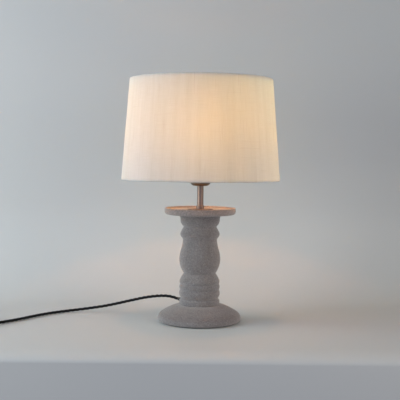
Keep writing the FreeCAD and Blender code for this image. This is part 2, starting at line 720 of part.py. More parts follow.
fabric = new_body("shade_fabric")
revolve(fabric, "FabricSheet", [[
    (sr - 0.8, zb),
    (sr, zb + 0.8, (174.77, 313.74)),
    (st, zt - 0.8),
    (st - 0.8, zt, (157.37, 535.56)),
    (st - 5.2, zt),
    (st - 6.0, zt - 0.8, (151.83, 535.56)),
    (st - 5.7, zt - 4.0),
    (st - 4.9, zt - 4.0),
    (st - 5.15, zt - 0.8),
    (st - ft, zt - 0.85),
    (sr - ft, zb + 0.85),
    (sr - 5.35, zb + 0.8),
    (sr - 5.3, zb + 2.9),
    (sr - 6.1, zb + 2.9),
    (sr - 6.2, zb + 0.8),
    (sr - 5.4, zb, (169.04, 313.74)),
]])

liner = new_body("shade_liner")
revolve(liner, "LinerSheet", [[
    (sr - ft - 0.03, zb + 0.9),
    (st - ft - 0.03, zt - 0.9),
    (st - ft - lt, zt - 0.9),
    (sr - ft - lt, zb + 0.9),
]])

top_wire = new_body("top_ring")
revolve(top_wire, "TopWire", [("circle", st - ft - lt - wr + 0.05, zt - 2.65, wr)])
bottom_wire = new_body("bottom_ring")
revolve(bottom_wire, "BottomWire", [("circle", sr - ft - lt - wr - 0.35, zb + 2.55, wr)])

fitter = new_body("fitter_ring")
revolve(fitter, "FitterWasher", [[
    (D["fitter_bore"], D["fitter_bottom_height"]),
    (D["fitter_radius"], D["fitter_bottom_height"]),
    (D["fitter_radius"], D["fitter_top_height"]),
    (D["fitter_bore"], D["fitter_top_height"]),
]])

# Three wire arms run out from the fitter ring, bend down and are welded to the bottom ring.
arms = new_body("fitter_arms")
path = arms.newObject("Sketcher::SketchObject", "ArmPath")
path.AttachmentSupport = [(origin_plane(arms, "XZ_Plane"), "")]
path.MapMode = "FlatFace"
ARM_Z = 355.0
ARM_START, ARM_BEND, ARM_END = Vector(26.6, ARM_Z, 0), Vector(44.0, ARM_Z, 0), Vector(171.2, 318.5, 0)
down = (ARM_END - ARM_BEND).normalize()
turn = Vector(1, 0, 0).getAngle(down)
BEND_R = 22.0
reach = BEND_R * math.tan(turn / 2.0)
pa = ARM_BEND - Vector(reach, 0, 0)
pc = ARM_BEND + down * reach
centre = pa - Vector(0, BEND_R, 0)
pm = centre + (ARM_BEND - centre).normalize() * BEND_R
path.addGeometry(Part.LineSegment(ARM_START, pa), False)
path.addGeometry(Part.Arc(pa, pm, pc), False)
path.addGeometry(Part.LineSegment(pc, ARM_END), False)
near = 1 if (path.getPoint(1, 1) - pa).Length < 1e-4 else 2
path.addConstraint([
    Sketcher.Constraint("Horizontal", 0),
    Sketcher.Constraint("DistanceX", -1, 1, 0, 2, pa.x),
    Sketcher.Constraint("DistanceX", -1, 1, 0, 1, ARM_START.x),
    Sketcher.Constraint("DistanceY", -1, 1, 0, 1, ARM_START.y),
    Sketcher.Constraint("Tangent", 0, 2, 1, near),
    Sketcher.Constraint("Tangent", 1, 3 - near, 2, 1),
    Sketcher.Constraint("Radius", 1, BEND_R),
    Sketcher.Constraint("DistanceX", -1, 1, 2, 2, ARM_END.x),
    Sketcher.Constraint("DistanceY", -1, 1, 2, 2, ARM_END.y),
])
section = outline(arms, "ArmSection", [("circle", 0, ARM_Z, D["arm_radius"])], "YZ_Plane",
                  Placement(Vector(0, 0, ARM_START.x), Rotation()))
doc.recompute()
pipe = arms.newObject("PartDesign::AdditivePipe", "ArmWire")
pipe.Profile = section
pipe.Spine = (path, ["Edge1", "Edge2", "Edge3"])
doc.recompute()
around(arms, "ArmSet", pipe, 3)
arms.Placement = Placement(Vector(0, 0, 0), Rotation(Vector(0, 0, 1), 30.0))

# ---------------------------------------------------------------- flex on the floor
# From the strain relief over the back of the base in a low arc, down to the floor and away to the left.
ROUTE = [
    (-36.9, 21.3, 41.2),
    (-52.8, 30.5, 45.3),
    (-74.0, 42.0, 48.5),
    (-112.0, 59.4, 43.5),
    (-160.0, 76.7, 30.5),
    (-212.0, 89.7, 15.9),
    (-262.0, 93.8, 7.3),
    (-304.0, 84.0, 3.5),
    (-340.0, 55.0, 3.5),
    (-370.0, 18.0, 3.5),
    (-398.0, -25.5, 3.5),
    (-432.0, -63.0, 3.5),
    (-459.0, -89.4, 4.1),
]
flex_tube("cord_lead", ROUTE, D["flex_radius"])

# The spare length is a round coil of four and a third turns, in two layers and part of a third.
COIL_AT = Vector(-498.4, -66.7, 0)
coil = new_body("cord_coil", Placement(COIL_AT, Rotation()))
ci, co = D["coil_inner_radius"], D["coil_outer_radius"]
z0, z1 = D["coil_bottom_height"], D["coil_top_height"]
revolve(coil, "CoilRing", [[
    (ci + 3.0, z0, (34.78, 1.78)), (co - 3.0, z0), (co, z0 + 3.0, (46.62, 1.78)), (co, z1 - 5.0),
    (co - 5.0, z1, (46.04, 19.94)), (ci + 5.0, z1), (ci, z1 - 5.0, (35.36, 19.94)), (ci, z0 + 3.0),
]])

tie = new_body("coil_tie", Placement(COIL_AT, Rotation(Vector(0, 0, 1), 20.0)))
tt = D["tie_thickness"]


def rounded_frame(x0, y0, x1, y1, r):
    """Corners of a rectangle with rounded corners; sizes may be bound to the table."""
    k = r * (1.0 - math.sqrt(0.5))
    return [
        (x0 + r, y0, (num(x0) + k, num(y0) + k)), (x1 - r, y0), (x1, y0 + r, (num(x1) - k, num(y0) + k)), (x1, y1 - r),
        (x1 - r, y1, (num(x1) - k, num(y1) - k)), (x0 + r, y1), (x0, y1 - r, (num(x0) + k, num(y1) - k)), (x0, y0 + r),
    ]


pad(tie, "TieLoop", [
    rounded_frame(ci - 0.45 - tt, z0 - 0.05 - tt, co + 0.15 + tt, z1 + 0.1 + tt, 3.4),
    rounded_frame(ci - 0.45, z0 - 0.05, co + 0.15, z1 + 0.1, 2.6),
], D["tie_width"], "XZ_Plane", midplane=True)

flex_tube("cord_tail", [
    (-538.9, -44.5, 17.9),
    (-539.2, -33.0, 17.0),
    (-539.6, -14.0, 9.6),
    (-538.8, 4.0, 4.7),
    (-536.5, 21.0, 5.6),
    (-535.5, 37.0, 7.1),
], D["flex_radius"])

# ---------------------------------------------------------------- three-pin plug, lying on its back beside the coil
PLUG_AT = Vector(-535.5, 30.6, 0)
PLUG = Placement(PLUG_AT, Rotation())
ps, pf = D["plug_split_height"], D["plug_face_height"]
WIDE = [(-13.0, 0), (13.0, 0), (20.5, 5.5), (24.8, 16.0), (24.8, 30.0), (19.5, 50.0), (-19.5, 50.0), (-24.8, 30.0),
        (-24.8, 16.0), (-20.5, 5.5)]


def upright_edges(feature):
    """Names of the vertical edges of a feature's shape."""
    names = []
    for i, e in enumerate(feature.Shape.Edges, start=1):
        a, b = e.Vertexes[0].Point, e.Vertexes[-1].Point
        if abs(a.x - b.x) < 1e-6 and abs(a.y - b.y) < 1e-6 and abs(a.z - b.z) > 1.0:
            names.append("Edge%d" % i)
    return names


def rim_edges(feature, height, skip_short=1.0):
    names = []
    for i, e in enumerate(feature.Shape.Edges, start=1):
        if all(abs(v.Point.z - height) < 1e-6 for v in e.Vertexes) and e.Length > skip_short:
            names.append("Edge%d" % i)
    return names


def rounded(body, name, feature, edges, radius, kind="PartDesign::Fillet"):
    f = body.newObject(kind, name)
    f.Base = (feature, edges)
    if kind.endswith("Fillet"):
        f.Radius = radius
    else:
        f.Size = radius
    doc.recompute()
    return f


cover = new_body("plug_cover", PLUG)
block = pad(cover, "CoverBlock", [WIDE], ps)
doc.recompute()
f = rounded(cover, "CoverCorners", block, upright_edges(block), 3.0)
f = rounded(cover, "CoverEdge", f, rim_edges(f, 0.0), 2.5)
drill(cover, "CoverFlexHole", D["flex_radius"] + 0.25, 9.0, Vector(0, -1.0, 7.1), Rotation(Vector(0, 0, 1), Vector(0, 1, 0)))
pocket = outline(cover, "CoverWell", [[(-16.0, 8.0), (16.0, 8.0), (20.5, 17.0), (20.5, 29.0), (16.0, 45.0),
                                       (-16.0, 45.0), (-20.5, 29.0), (-20.5, 17.0)]], "XY_Plane",
                 Placement(Vector(0, 0, 2.6), Rotation()))
well = cover.newObject("PartDesign::Pocket", "CoverHollow")
well.Profile = pocket
well.Length = 12.0
well.Reversed = True
doc.recompute()

pbase = new_body("plug_base", PLUG)
WIDE_TOP = [(x * 0.955, 1.1 + y * 0.957) for x, y in WIDE]
block = pad(pbase, "BaseBlock", [WIDE], 8.0, "XY_Plane", Placement(Vector(0, 0, num(ps)), Rotation()))
doc.recompute()
f = rounded(pbase, "BaseCorners", block, upright_edges(block), 3.0)
f = rounded(pbase, "BaseEdge", f, rim_edges(f, num(pf)), 2.0)
for tag, x, y, wx, wy in (("Line", -11.1, 14.0, 6.45, 4.1), ("Neutral", 11.1, 14.0, 6.45, 4.1), ("Earth", 0.0, 36.2, 4.1, 8.1)):
    sk = outline(pbase, "Slot" + tag, [[(x - wx / 2, y - wy / 2), (x + wx / 2, y - wy / 2), (x + wx / 2, y + wy / 2),
                                        (x - wx / 2, y + wy / 2)]], "XY_Plane",
                 Placement(Vector(0, 0, 22.0), Rotation()))
    cutter = pbase.newObject("PartDesign::Pocket", "Pin%sSlot" % tag)
    cutter.Profile = sk
    cutter.Type = 1
    doc.recompute()
drill(pbase, "PlugScrewHole", 1.75, 12.0, Vector(0, 24.0, 10.0))
drill(pbase, "PlugScrewSink", 3.4, 4.0, Vector(0, 24.0, 17.4))

pins = new_body("plug_pins", PLUG)
for tag, x, y, wx, wy, tall in (("Line", -11.1, 14.0, 6.35, 4.0, D["pin_length"]),
                                ("Neutral", 11.1, 14.0, 6.35, 4.0, D["pin_length"]),
                                ("Earth", 0.0, 36.2, 4.0, 8.0, D["earth_pin_length"])):
    pad(pins, "Pin" + tag, [[(x - wx / 2, y - wy / 2), (x + wx / 2, y - wy / 2), (x + wx / 2, y + wy / 2),
                             (x - wx / 2, y + wy / 2)]], tall + 11.0, "XY_Plane",
        Placement(Vector(0, 0, 9.0), Rotation()))
    doc.recompute()

fuse = new_body("plug_fuse", Placement(PLUG_AT + Vector(12.6, 18.5, 7.0), Rotation(Vector(0, 0, 1), Vector(0, 1, 0))))
revolve(fuse, "FuseCartridge", [[(0, 0), (3.15, 0), (3.15, 22.0), (0, 22.0)]])
pscrew = new_body("plug_screw", Placement(PLUG_AT + Vector(0, 24.0, 0), Rotation()))
revolve(pscrew, "PlugScrew", [[(0, 4.0), (1.7, 4.0), (1.7, 17.5), (3.3, 17.5), (3.3, 19.0), (2.7, 19.5), (0, 19.5)]])
grip = new_body("plug_grip", PLUG)
pad(grip, "GripBar", [[(-9.0, 9.5), (9.0, 9.5), (9.0, 12.0), (-9.0, 12.0)]], 3.4, "XY_Plane",
    Placement(Vector(0, 0, 2.6), Rotation()))

# ---------------------------------------------------------------- test, then write every part
doc.recompute()
faults = []
for obj in doc.Objects:
    if "Invalid" in obj.State or "Error" in obj.State:
        faults.append("%s is %s" % (obj.Name, obj.State))
for obj in PARTS:
    shape = obj.Shape
    if shape.isNull() or not shape.isValid() or not shape.Solids:
        faults.append("%s has no valid shape" % obj.Label)
if faults:
    raise SystemExit("\n".join(faults))

os.makedirs("parts", exist_ok=True)
wanted = set()
for obj in PARTS:
    target = os.path.join("parts", obj.Label + ".step")
    obj.Shape.exportStep(target)
    wanted.add(obj.Label + ".step")
    box = obj.Shape.BoundBox
    print("%-20s %d solid(s) volume %10.1f  z %.2f to %.2f" % (obj.Label, len(obj.Shape.Solids), obj.Shape.Volume,
                                                              box.ZMin, box.ZMax))
for name in os.listdir("parts"):
    if name.endswith(".step") and name not in wanted:
        os.remove(os.path.join("parts", name))
print("%d parts" % len(PARTS))
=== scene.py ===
"""Looks of the column table lamp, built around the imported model. Metres, in the model's own frame."""

import json
import math

import bpy
import numpy as np
from mathutils import Matrix, Vector


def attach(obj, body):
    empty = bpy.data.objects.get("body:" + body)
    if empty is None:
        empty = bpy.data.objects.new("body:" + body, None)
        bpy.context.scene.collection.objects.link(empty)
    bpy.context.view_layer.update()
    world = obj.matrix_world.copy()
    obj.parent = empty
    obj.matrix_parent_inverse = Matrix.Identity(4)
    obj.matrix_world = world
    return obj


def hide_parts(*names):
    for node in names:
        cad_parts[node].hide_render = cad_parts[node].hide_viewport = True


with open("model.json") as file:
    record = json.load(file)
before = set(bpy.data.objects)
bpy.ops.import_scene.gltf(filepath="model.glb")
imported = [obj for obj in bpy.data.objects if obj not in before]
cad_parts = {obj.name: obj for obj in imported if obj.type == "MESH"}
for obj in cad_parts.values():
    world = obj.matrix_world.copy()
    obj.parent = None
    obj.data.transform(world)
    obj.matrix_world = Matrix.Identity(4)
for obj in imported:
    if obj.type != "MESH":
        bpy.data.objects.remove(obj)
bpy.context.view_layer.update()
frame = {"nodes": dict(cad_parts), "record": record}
node = frame["nodes"]
scene = bpy.context.scene
scene.view_settings.view_transform = "Standard"


# ------------------------------------------------------------------ camera
lens = bpy.data.cameras.new("camera")
lens.lens = 75.15
lens.sensor_width = 36.0
lens.clip_start = 0.05
lens.clip_end = 60.0
camera = bpy.data.objects.new("camera", lens)
scene.collection.objects.link(camera)
camera.matrix_world = (
    Matrix.Translation((-0.00067, -1.85, 0.3665))
    @ Matrix.Rotation(math.radians(87.0), 4, "X")
    @ Matrix.Rotation(math.radians(0.55), 4, "Z")
)
scene.camera = camera


# ------------------------------------------------------------------ mesh helpers
def add_mesh(name, points, faces, smooth=True, uv=None, uv_name="cloth"):
    """A mesh object. uv is one (u, v) for each corner of each face, in the faces' order."""
    mesh = bpy.data.meshes.new(name)
    mesh.from_pydata([tuple(p) for p in points], [], faces)
    if uv is not None:
        layer = mesh.uv_layers.new(name=uv_name)
        layer.data.foreach_set("uv", np.array(uv, np.float32).ravel())
    mesh.polygons.foreach_set("use_smooth", [smooth] * len(mesh.polygons))
    mesh.update()
    obj = bpy.data.objects.new(name, mesh)
    scene.collection.objects.link(obj)
    return obj


def resample(path, step):
    path = np.array(path, float)
    gaps = np.linalg.norm(np.diff(path, axis=0), axis=1)
    along = np.concatenate([[0.0], np.cumsum(gaps)])
    count = max(2, int(round(along[-1] / step)) + 1)
    want = np.linspace(0.0, along[-1], count)
    return np.stack([np.interp(want, along, path[:, k]) for k in range(3)], axis=1), want


def tangents(path):
    t = np.gradient(path, axis=0)
    return t / np.linalg.norm(t, axis=1)[:, None]


def transported(path, start):
    """A normal for each point that turns no more about the path than it must."""
    t = tangents(path)
    n = np.array(start, float)
    n -= t[0] * (n @ t[0])
    n /= np.linalg.norm(n)
    out = [n]
    for a in t[1:]:
        n = n - a * (n @ a)
        n = n / np.linalg.norm(n)
        out.append(n)
    return np.array(out), t


def tube(path, side, radius, sides, s0=0.0, closed_ends=True):
    """Rings of points round a path. side is a direction across the path at each of its points, which turns with it.
    Returns points, faces and corner uvs, with u the distance along and v the share of the way round."""
    t = tangents(path)
    across = side - t * np.sum(side * t, axis=1)[:, None]
    across /= np.linalg.norm(across, axis=1)[:, None]
    up = np.cross(t, across)
    radius = np.broadcast_to(np.asarray(radius, float), (len(path),))
    turn = 2 * np.pi * np.arange(sides) / sides
    ring = np.cos(turn)[None, :, None] * across[:, None, :] + np.sin(turn)[None, :, None] * up[:, None, :]
    points = (path[:, None, :] + ring * radius[:, None, None]).reshape(-1, 3)
    gaps = np.linalg.norm(np.diff(path, axis=0), axis=1)
    along = s0 + np.concatenate([[0.0], np.cumsum(gaps)])
    faces, uv = [], []
    for i in range(len(path) - 1):
        for j in range(sides):
            k = (j + 1) % sides
            faces.append((i * sides + j, i * sides + k, (i + 1) * sides + k, (i + 1) * sides + j))
            uv += [
                (along[i], j / sides),
                (along[i], (j + 1) / sides),
                (along[i + 1], (j + 1) / sides),
                (along[i + 1], j / sides),
            ]
    if closed_ends:
        faces.append(tuple(reversed(range(sides))))
        uv += [(along[0], j / sides) for j in range(sides)]
        last = (len(path) - 1) * sides
        faces.append(tuple(range(last, last + sides)))
        uv += [(along[-1], j / sides) for j in range(sides)]
    return points, faces, uv


def lathe(profile, turns, wobble=None):
    """A sheet of revolution about Z. profile is a list of (radius, height, distance along the sheet) in metres.
    wobble(angle, i) gives a small change of radius and height at a row."""
    rows = len(profile)
    points, faces, uv = [], [], []
    for j in range(turns):
        a = 2 * math.pi * j / turns
        for i, (r, z, s) in enumerate(profile):
            dr, dz = wobble(a, i) if wobble else (0.0, 0.0)
            points.append(((r + dr) * math.cos(a), (r + dr) * math.sin(a), z + dz))
    mean = sum(p[0] for p in profile) / rows
    for j in range(turns):
        k = (j + 1) % turns
        for i in range(rows - 1):
            faces.append((j * rows + i, j * rows + i + 1, k * rows + i + 1, k * rows + i))
            u0, u1 = mean * 2 * math.pi * j / turns, mean * 2 * math.pi * (j + 1) / turns
            uv += [(u0, profile[i][2]), (u0, profile[i + 1][2]), (u1, profile[i + 1][2]), (u1, profile[i][2])]
    return points, faces, uv


# ------------------------------------------------------------------ the flex
ROUTE = [
    (-0.0369, 0.0213, 0.0412),
    (-0.0528, 0.0305, 0.0453),
    (-0.0740, 0.0420, 0.0485),
    (-0.1120, 0.0594, 0.0435),
    (-0.1600, 0.0767, 0.0305),
    (-0.2120, 0.0897, 0.0159),
    (-0.2620, 0.0938, 0.0073),
    (-0.3040, 0.0840, 0.0035),
    (-0.3400, 0.0550, 0.0035),
    (-0.3700, 0.0180, 0.0035),
    (-0.3980, -0.0255, 0.0035),
    (-0.4320, -0.0630, 0.0035),
]
COIL = [
    (-0.4672, -0.0988, 0.0043),
    (-0.4818, -0.1083, 0.0043),
    (-0.4990, -0.1114, 0.0043),
    (-0.5161, -0.1078, 0.0043),
    (-0.5305, -0.0979, 0.0043),
    (-0.5400, -0.0833, 0.0043),
    (-0.5431, -0.0661, 0.0043),
    (-0.5395, -0.0491, 0.0043),
    (-0.5297, -0.0347, 0.0043),
    (-0.5150, -0.0251, 0.0043),
    (-0.4979, -0.0220, 0.0043),
    (-0.4808, -0.0256, 0.0043),
    (-0.4664, -0.0354, 0.0043),
    (-0.4569, -0.0500, 0.0043),
    (-0.4537, -0.0672, 0.0043),
    (-0.4614, -0.0825, 0.0043),
    (-0.4719, -0.0937, 0.0043),
    (-0.4843, -0.1018, 0.0043),
    (-0.4988, -0.1045, 0.0043),
    (-0.5132, -0.1015, 0.0043),
    (-0.5254, -0.0932, 0.0043),
    (-0.5335, -0.0808, 0.0043),
    (-0.5362, -0.0663, 0.0043),
    (-0.5332, -0.0519, 0.0043),
    (-0.5249, -0.0397, 0.0043),
    (-0.5126, -0.0316, 0.0043),
    (-0.4981, -0.0289, 0.0043),
    (-0.4836, -0.0319, 0.0043),
    (-0.4714, -0.0402, 0.0043),
    (-0.4633, -0.0525, 0.0079),
    (-0.4606, -0.0670, 0.0112),
    (-0.4636, -0.0814, 0.0112),
    (-0.4719, -0.0936, 0.0112),
    (-0.4842, -0.1017, 0.0112),
    (-0.4987, -0.1045, 0.0112),
    (-0.5131, -0.1015, 0.0112),
    (-0.5253, -0.0933, 0.0112),
    (-0.5334, -0.0809, 0.0112),
    (-0.5362, -0.0665, 0.0112),
    (-0.5333, -0.0520, 0.0112),
    (-0.5250, -0.0398, 0.0112),
    (-0.5127, -0.0317, 0.0112),
    (-0.4982, -0.0288, 0.0112),
    (-0.4821, -0.0280, 0.0112),
    (-0.4666, -0.0352, 0.0112),
    (-0.4570, -0.0498, 0.0112),
    (-0.4536, -0.0669, 0.0112),
    (-0.4571, -0.0840, 0.0112),
    (-0.4669, -0.0985, 0.0112),
    (-0.4814, -0.1081, 0.0112),
    (-0.4986, -0.1115, 0.0112),
    (-0.5157, -0.1080, 0.0112),
    (-0.5302, -0.0982, 0.0112),
    (-0.5398, -0.0837, 0.0112),
    (-0.5432, -0.0666, 0.0112),
    (-0.5397, -0.0495, 0.0112),
    (-0.5300, -0.0350, 0.0138),
    (-0.5148, -0.0268, 0.0176),
    (-0.4983, -0.0254, 0.0179),
    (-0.4825, -0.0286, 0.0179),
    (-0.4691, -0.0376, 0.0179),
    (-0.4602, -0.0510, 0.0179),
    (-0.4571, -0.0668, 0.0179),
    (-0.4603, -0.0826, 0.0179),
    (-0.4692, -0.0959, 0.0179),
    (-0.4826, -0.1049, 0.0179),
    (-0.4984, -0.1080, 0.0179),
    (-0.5142, -0.1048, 0.0179),
    (-0.5276, -0.0959, 0.0179),
    (-0.5365, -0.0825, 0.0179),
    (-0.5397, -0.0667, 0.0179),
]
TAIL = [
    (-0.5390, -0.0480, 0.0183),
    (-0.5392, -0.0330, 0.0172),
    (-0.5396, -0.0140, 0.0096),
    (-0.5388, 0.0040, 0.0047),
    (-0.5365, 0.0210, 0.0056),
    (-0.5355, 0.0380, 0.0071),
]
line_data = bpy.data.curves.new("flex_line", "CURVE")
line_data.dimensions = "3D"
spline = line_data.splines.new("NURBS")
route_points = ROUTE + COIL + TAIL
spline.points.add(len(route_points) - 1)
for target, place in zip(spline.points, route_points):
    target.co = (*place, 1.0)
spline.order_u = 3
spline.use_endpoint_u = True
spline.resolution_u = 16
line = bpy.data.objects.new("flex_line", line_data)
scene.collection.objects.link(line)
bpy.context.view_layer.update()
read = bpy.data.meshes.new_from_object(line.evaluated_get(bpy.context.evaluated_depsgraph_get()))
centre = [tuple(v.co) for v in read.vertices]
bpy.data.objects.remove(line)

FLEX_RADIUS = 0.0034
STRAND_RADIUS = 0.00202
STRAND_CENTRE = FLEX_RADIUS - STRAND_RADIUS
LAY_LENGTH = 0.034
axis_points, axis_along = resample(centre, 0.0015)
axis_normal, axis_tangent = transported(axis_points, (0.0, 0.0, 1.0))
axis_side = np.cross(axis_tangent, axis_normal)
flex_points, flex_faces, flex_uv = [], [], []
for strand in range(3):
    phase = 2 * np.pi * (axis_along / LAY_LENGTH + strand / 3)
    outward = np.cos(phase)[:, None] * axis_normal + np.sin(phase)[:, None] * axis_side
    strand_line = axis_points + STRAND_CENTRE * outward
    p, f, uv = tube(strand_line, outward, STRAND_RADIUS, 14, s0=0.013 * strand)
    # The soft covers are pressed flat where the strands lie against each other.
    beside = np.cross(axis_tangent, outward)
    rel = p.reshape(len(axis_points), 14, 3) - axis_points[:, None, :]
    x = np.sum(rel * outward[:, None, :], axis=2)
    y = np.sum(rel * beside[:, None, :], axis=2)
    over = np.abs(y) > math.sqrt(3.0) * x - 0.00002
    down = np.maximum(0.5 * x + 0.5 * math.sqrt(3.0) * np.abs(y), 0.0001)
    x = np.where(over, 0.5 * down + 0.00002, x)
    y = np.where(over, np.sign(y) * 0.5 * math.sqrt(3.0) * down, y)
    p = (axis_points[:, None, :] + x[:, :, None] * outward[:, None, :] + y[:, :, None] * beside[:, None, :]).reshape(-1, 3)
    base = len(flex_points)
    flex_points += [tuple(x) for x in p]
    flex_faces += [tuple(i + base for i in face) for face in f]
    flex_uv += uv
flex = add_mesh("flex", flex_points, flex_faces, uv=flex_uv, uv_name="braid")
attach(flex, "root")
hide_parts("cord_lead", "cord_coil", "cord_tail")


# ------------------------------------------------------------------ the tie round the coil
TIE_OUTLINE = [
    (0.0322, 0.0048), (0.0327, 0.0018), (0.0345, 0.0008), (0.0380, 0.0006), (0.0420, 0.0006), (0.0462, 0.0008),
    (0.0485, 0.0022), (0.0489, 0.0050), (0.0489, 0.0090), (0.0487, 0.0126), (0.0476, 0.0152), (0.0458, 0.0180),
    (0.0440, 0.0206), (0.0414, 0.0219), (0.0384, 0.0219), (0.0356, 0.0206), (0.0340, 0.0176), (0.0329, 0.0146),
    (0.0323, 0.0110), (0.0321, 0.0076),
]
TIE_AT, TIE_TURN, TIE_WIDTH, TIE_THICK = (-0.4984, -0.0667), math.radians(20.0), 0.008, 0.0009


def smooth_loop(points, count):
    """A closed uniform cubic B-spline through the run of the given points."""
    pts = np.array(points)
    n = len(pts)
    out = []
    for k in range(count):
        t = k / count * n
        i, f = int(t), t - int(t)
        w = ((1 - f) ** 3 / 6, (3 * f ** 3 - 6 * f * f + 4) / 6, (-3 * f ** 3 + 3 * f * f + 3 * f + 1) / 6, f ** 3 / 6)
        out.append(sum(w[j] * pts[(i + j - 1) % n] for j in range(4)))
    return np.array(out)


def strap(points, closed, lift, taper):
    """A flat strap along points, which are (distance, height) in the tie's own upright plane."""
    pts = np.array(points)
    n = len(pts)
    if closed:
        t = np.roll(pts, -1, axis=0) - np.roll(pts, 1, axis=0)
    else:
        t = np.gradient(pts, axis=0)
    t /= np.linalg.norm(t, axis=1)[:, None]
    out = np.stack([t[:, 1], -t[:, 0]], axis=1)
    section = []
    for k in range(16):
        a = 2 * math.pi * k / 16
        c, d = math.cos(a), math.sin(a)
        section.append((math.copysign(abs(c) ** 0.25, c) * 0.5 * TIE_WIDTH, math.copysign(abs(d) ** 0.7, d) * 0.5 * TIE_THICK))
    verts, faces, uv = [], [], []
    along = np.concatenate([[0.0], np.cumsum(np.linalg.norm(np.diff(pts, axis=0), axis=1))])
    for i in range(n):
        edge = 1.0 if closed or not taper else min(1.0, 0.35 + 6.0 * min(i, n - 1 - i) / n)
        wave = 0.00012 * math.sin(9.0 * i / n * 2 * math.pi)
        for w, h in section:
            d, z = pts[i] + out[i] * (h + lift)
            w = w * edge + wave
            verts.append((
                TIE_AT[0] + d * math.cos(TIE_TURN) - w * math.sin(TIE_TURN),
                TIE_AT[1] + d * math.sin(TIE_TURN) + w * math.cos(TIE_TURN), z))
    for i in range(n if closed else n - 1):
        for j in range(16):
            k, l = (j + 1) % 16, (i + 1) % n
            faces.append((i * 16 + j, l * 16 + j, l * 16 + k, i * 16 + k))
            a0, a1 = along[i], along[i + 1] if i + 1 < n else along[-1] + 0.001
            uv += [(a0, section[j][0]), (a1, section[j][0]), (a1, section[k][0]), (a0, section[k][0])]
    if not closed:
        faces += [tuple(range(16)), tuple(reversed(range((n - 1) * 16, n * 16)))]
        uv += [(along[0], w) for w, h in section] + [(along[-1], w) for w, h in reversed(section)]
    return verts, faces, uv


loop_line = smooth_loop(TIE_OUTLINE, 96)
tie_points, tie_faces, tie_uv = strap(loop_line, True, 0.0, False)
end_line = np.roll(loop_line, -36, axis=0)[:26]
more_points, more_faces, more_uv = strap(end_line, False, TIE_THICK * 1.02, True)
tie_faces += [tuple(i + len(tie_points) for i in f) for f in more_faces]
tie = add_mesh("coil_strap", tie_points + more_points, tie_faces, uv=tie_uv + more_uv, uv_name="weave")
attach(tie, "root")
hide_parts("coil_tie")


# ------------------------------------------------------------------ the shade's cover
SHADE_ROWS = 34
SR, ST, ZB, ZT = 0.1750, 0.1576, 0.3135, 0.5358


def shade_profile():
    """Rows from the turned-in edge at the top, over the top wire, down the outside, round the bottom wire and up inside."""
    top_in = [
        (ST - 0.00530, ZT - 0.0042),
        (ST - 0.00560, ZT - 0.0024),
        (ST - 0.00555, ZT - 0.0011),
        (ST - 0.00500, ZT - 0.0003),
        (ST - 0.00390, ZT + 0.00005),
        (ST - 0.00270, ZT + 0.0001),
        (ST - 0.00150, ZT - 0.0000),
        (ST - 0.00070, ZT - 0.0004),
        (ST - 0.00022, ZT - 0.0012),
    ]
    bottom_in = [
        (SR - 0.00012, ZB + 0.0012),
        (SR - 0.00055, ZB + 0.0004),
        (SR - 0.00140, ZB + 0.0000),
        (SR - 0.00270, ZB - 0.0001),
        (SR - 0.00400, ZB - 0.00005),
        (SR - 0.00520, ZB + 0.0003),
        (SR - 0.00578, ZB + 0.0011),
        (SR - 0.00585, ZB + 0.0024),
        (SR - 0.00560, ZB + 0.0046),
    ]
    rows = list(top_in)
    z_hi, z_lo = ZT - 0.0012, ZB + 0.0012
    for i in range(1, SHADE_ROWS):
        t = i / SHADE_ROWS
        z = z_hi + (z_lo - z_hi) * t
        r = (ST - 0.00022) + (SR - 0.00012 - (ST - 0.00022)) * t
        rows.append((r, z))
    rows += bottom_in
    out, s = [], 0.0
    for i, (r, z) in enumerate(rows):
        if i:
            s += math.dist(rows[i], rows[i - 1])
        out.append((r, z, s))
    return out, len(top_in), len(rows) - len(bottom_in)


profile, first_outer, last_outer = shade_profile()


def shade_wobble(a, i):
    """The cloth on its laminate isn't quite round, and its turned edges are a little uneven."""
    even = 0.00016 * math.sin(3 * a + 0.6) + 0.00010 * math.sin(7 * a + 2.0 + 0.09 * i)
    if i < first_outer:
        edge = 0.00012 * math.sin(41 * a + 0.4 * i) + 0.00008 * math.sin(67 * a + 1.3)
        tuck = 0.00045 * math.sin(29 * a) * math.sin(11 * a + 1.0) if i == 0 else 0.0
        return even + edge, edge * 0.6 + tuck
    if i >= last_outer:
        edge = 0.00012 * math.sin(37 * a + 0.5 * i) + 0.00009 * math.sin(59 * a + 0.3)
        tuck = 0.0006 * math.sin(31 * a) * math.sin(9 * a + 2.0) if i == len(profile) - 1 else 0.0
        return even + edge, -edge * 0.6 + tuck
    return even, 0.0


shade_points, shade_faces, shade_uv = lathe(profile, 288, shade_wobble)
cover = add_mesh("shade_cover", shade_points, [tuple(reversed(f)) for f in shade_faces],
                 uv=[c for k in range(0, len(shade_uv), 4) for c in reversed(shade_uv[k:k + 4])])
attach(cover, "shade")
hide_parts("shade_fabric")

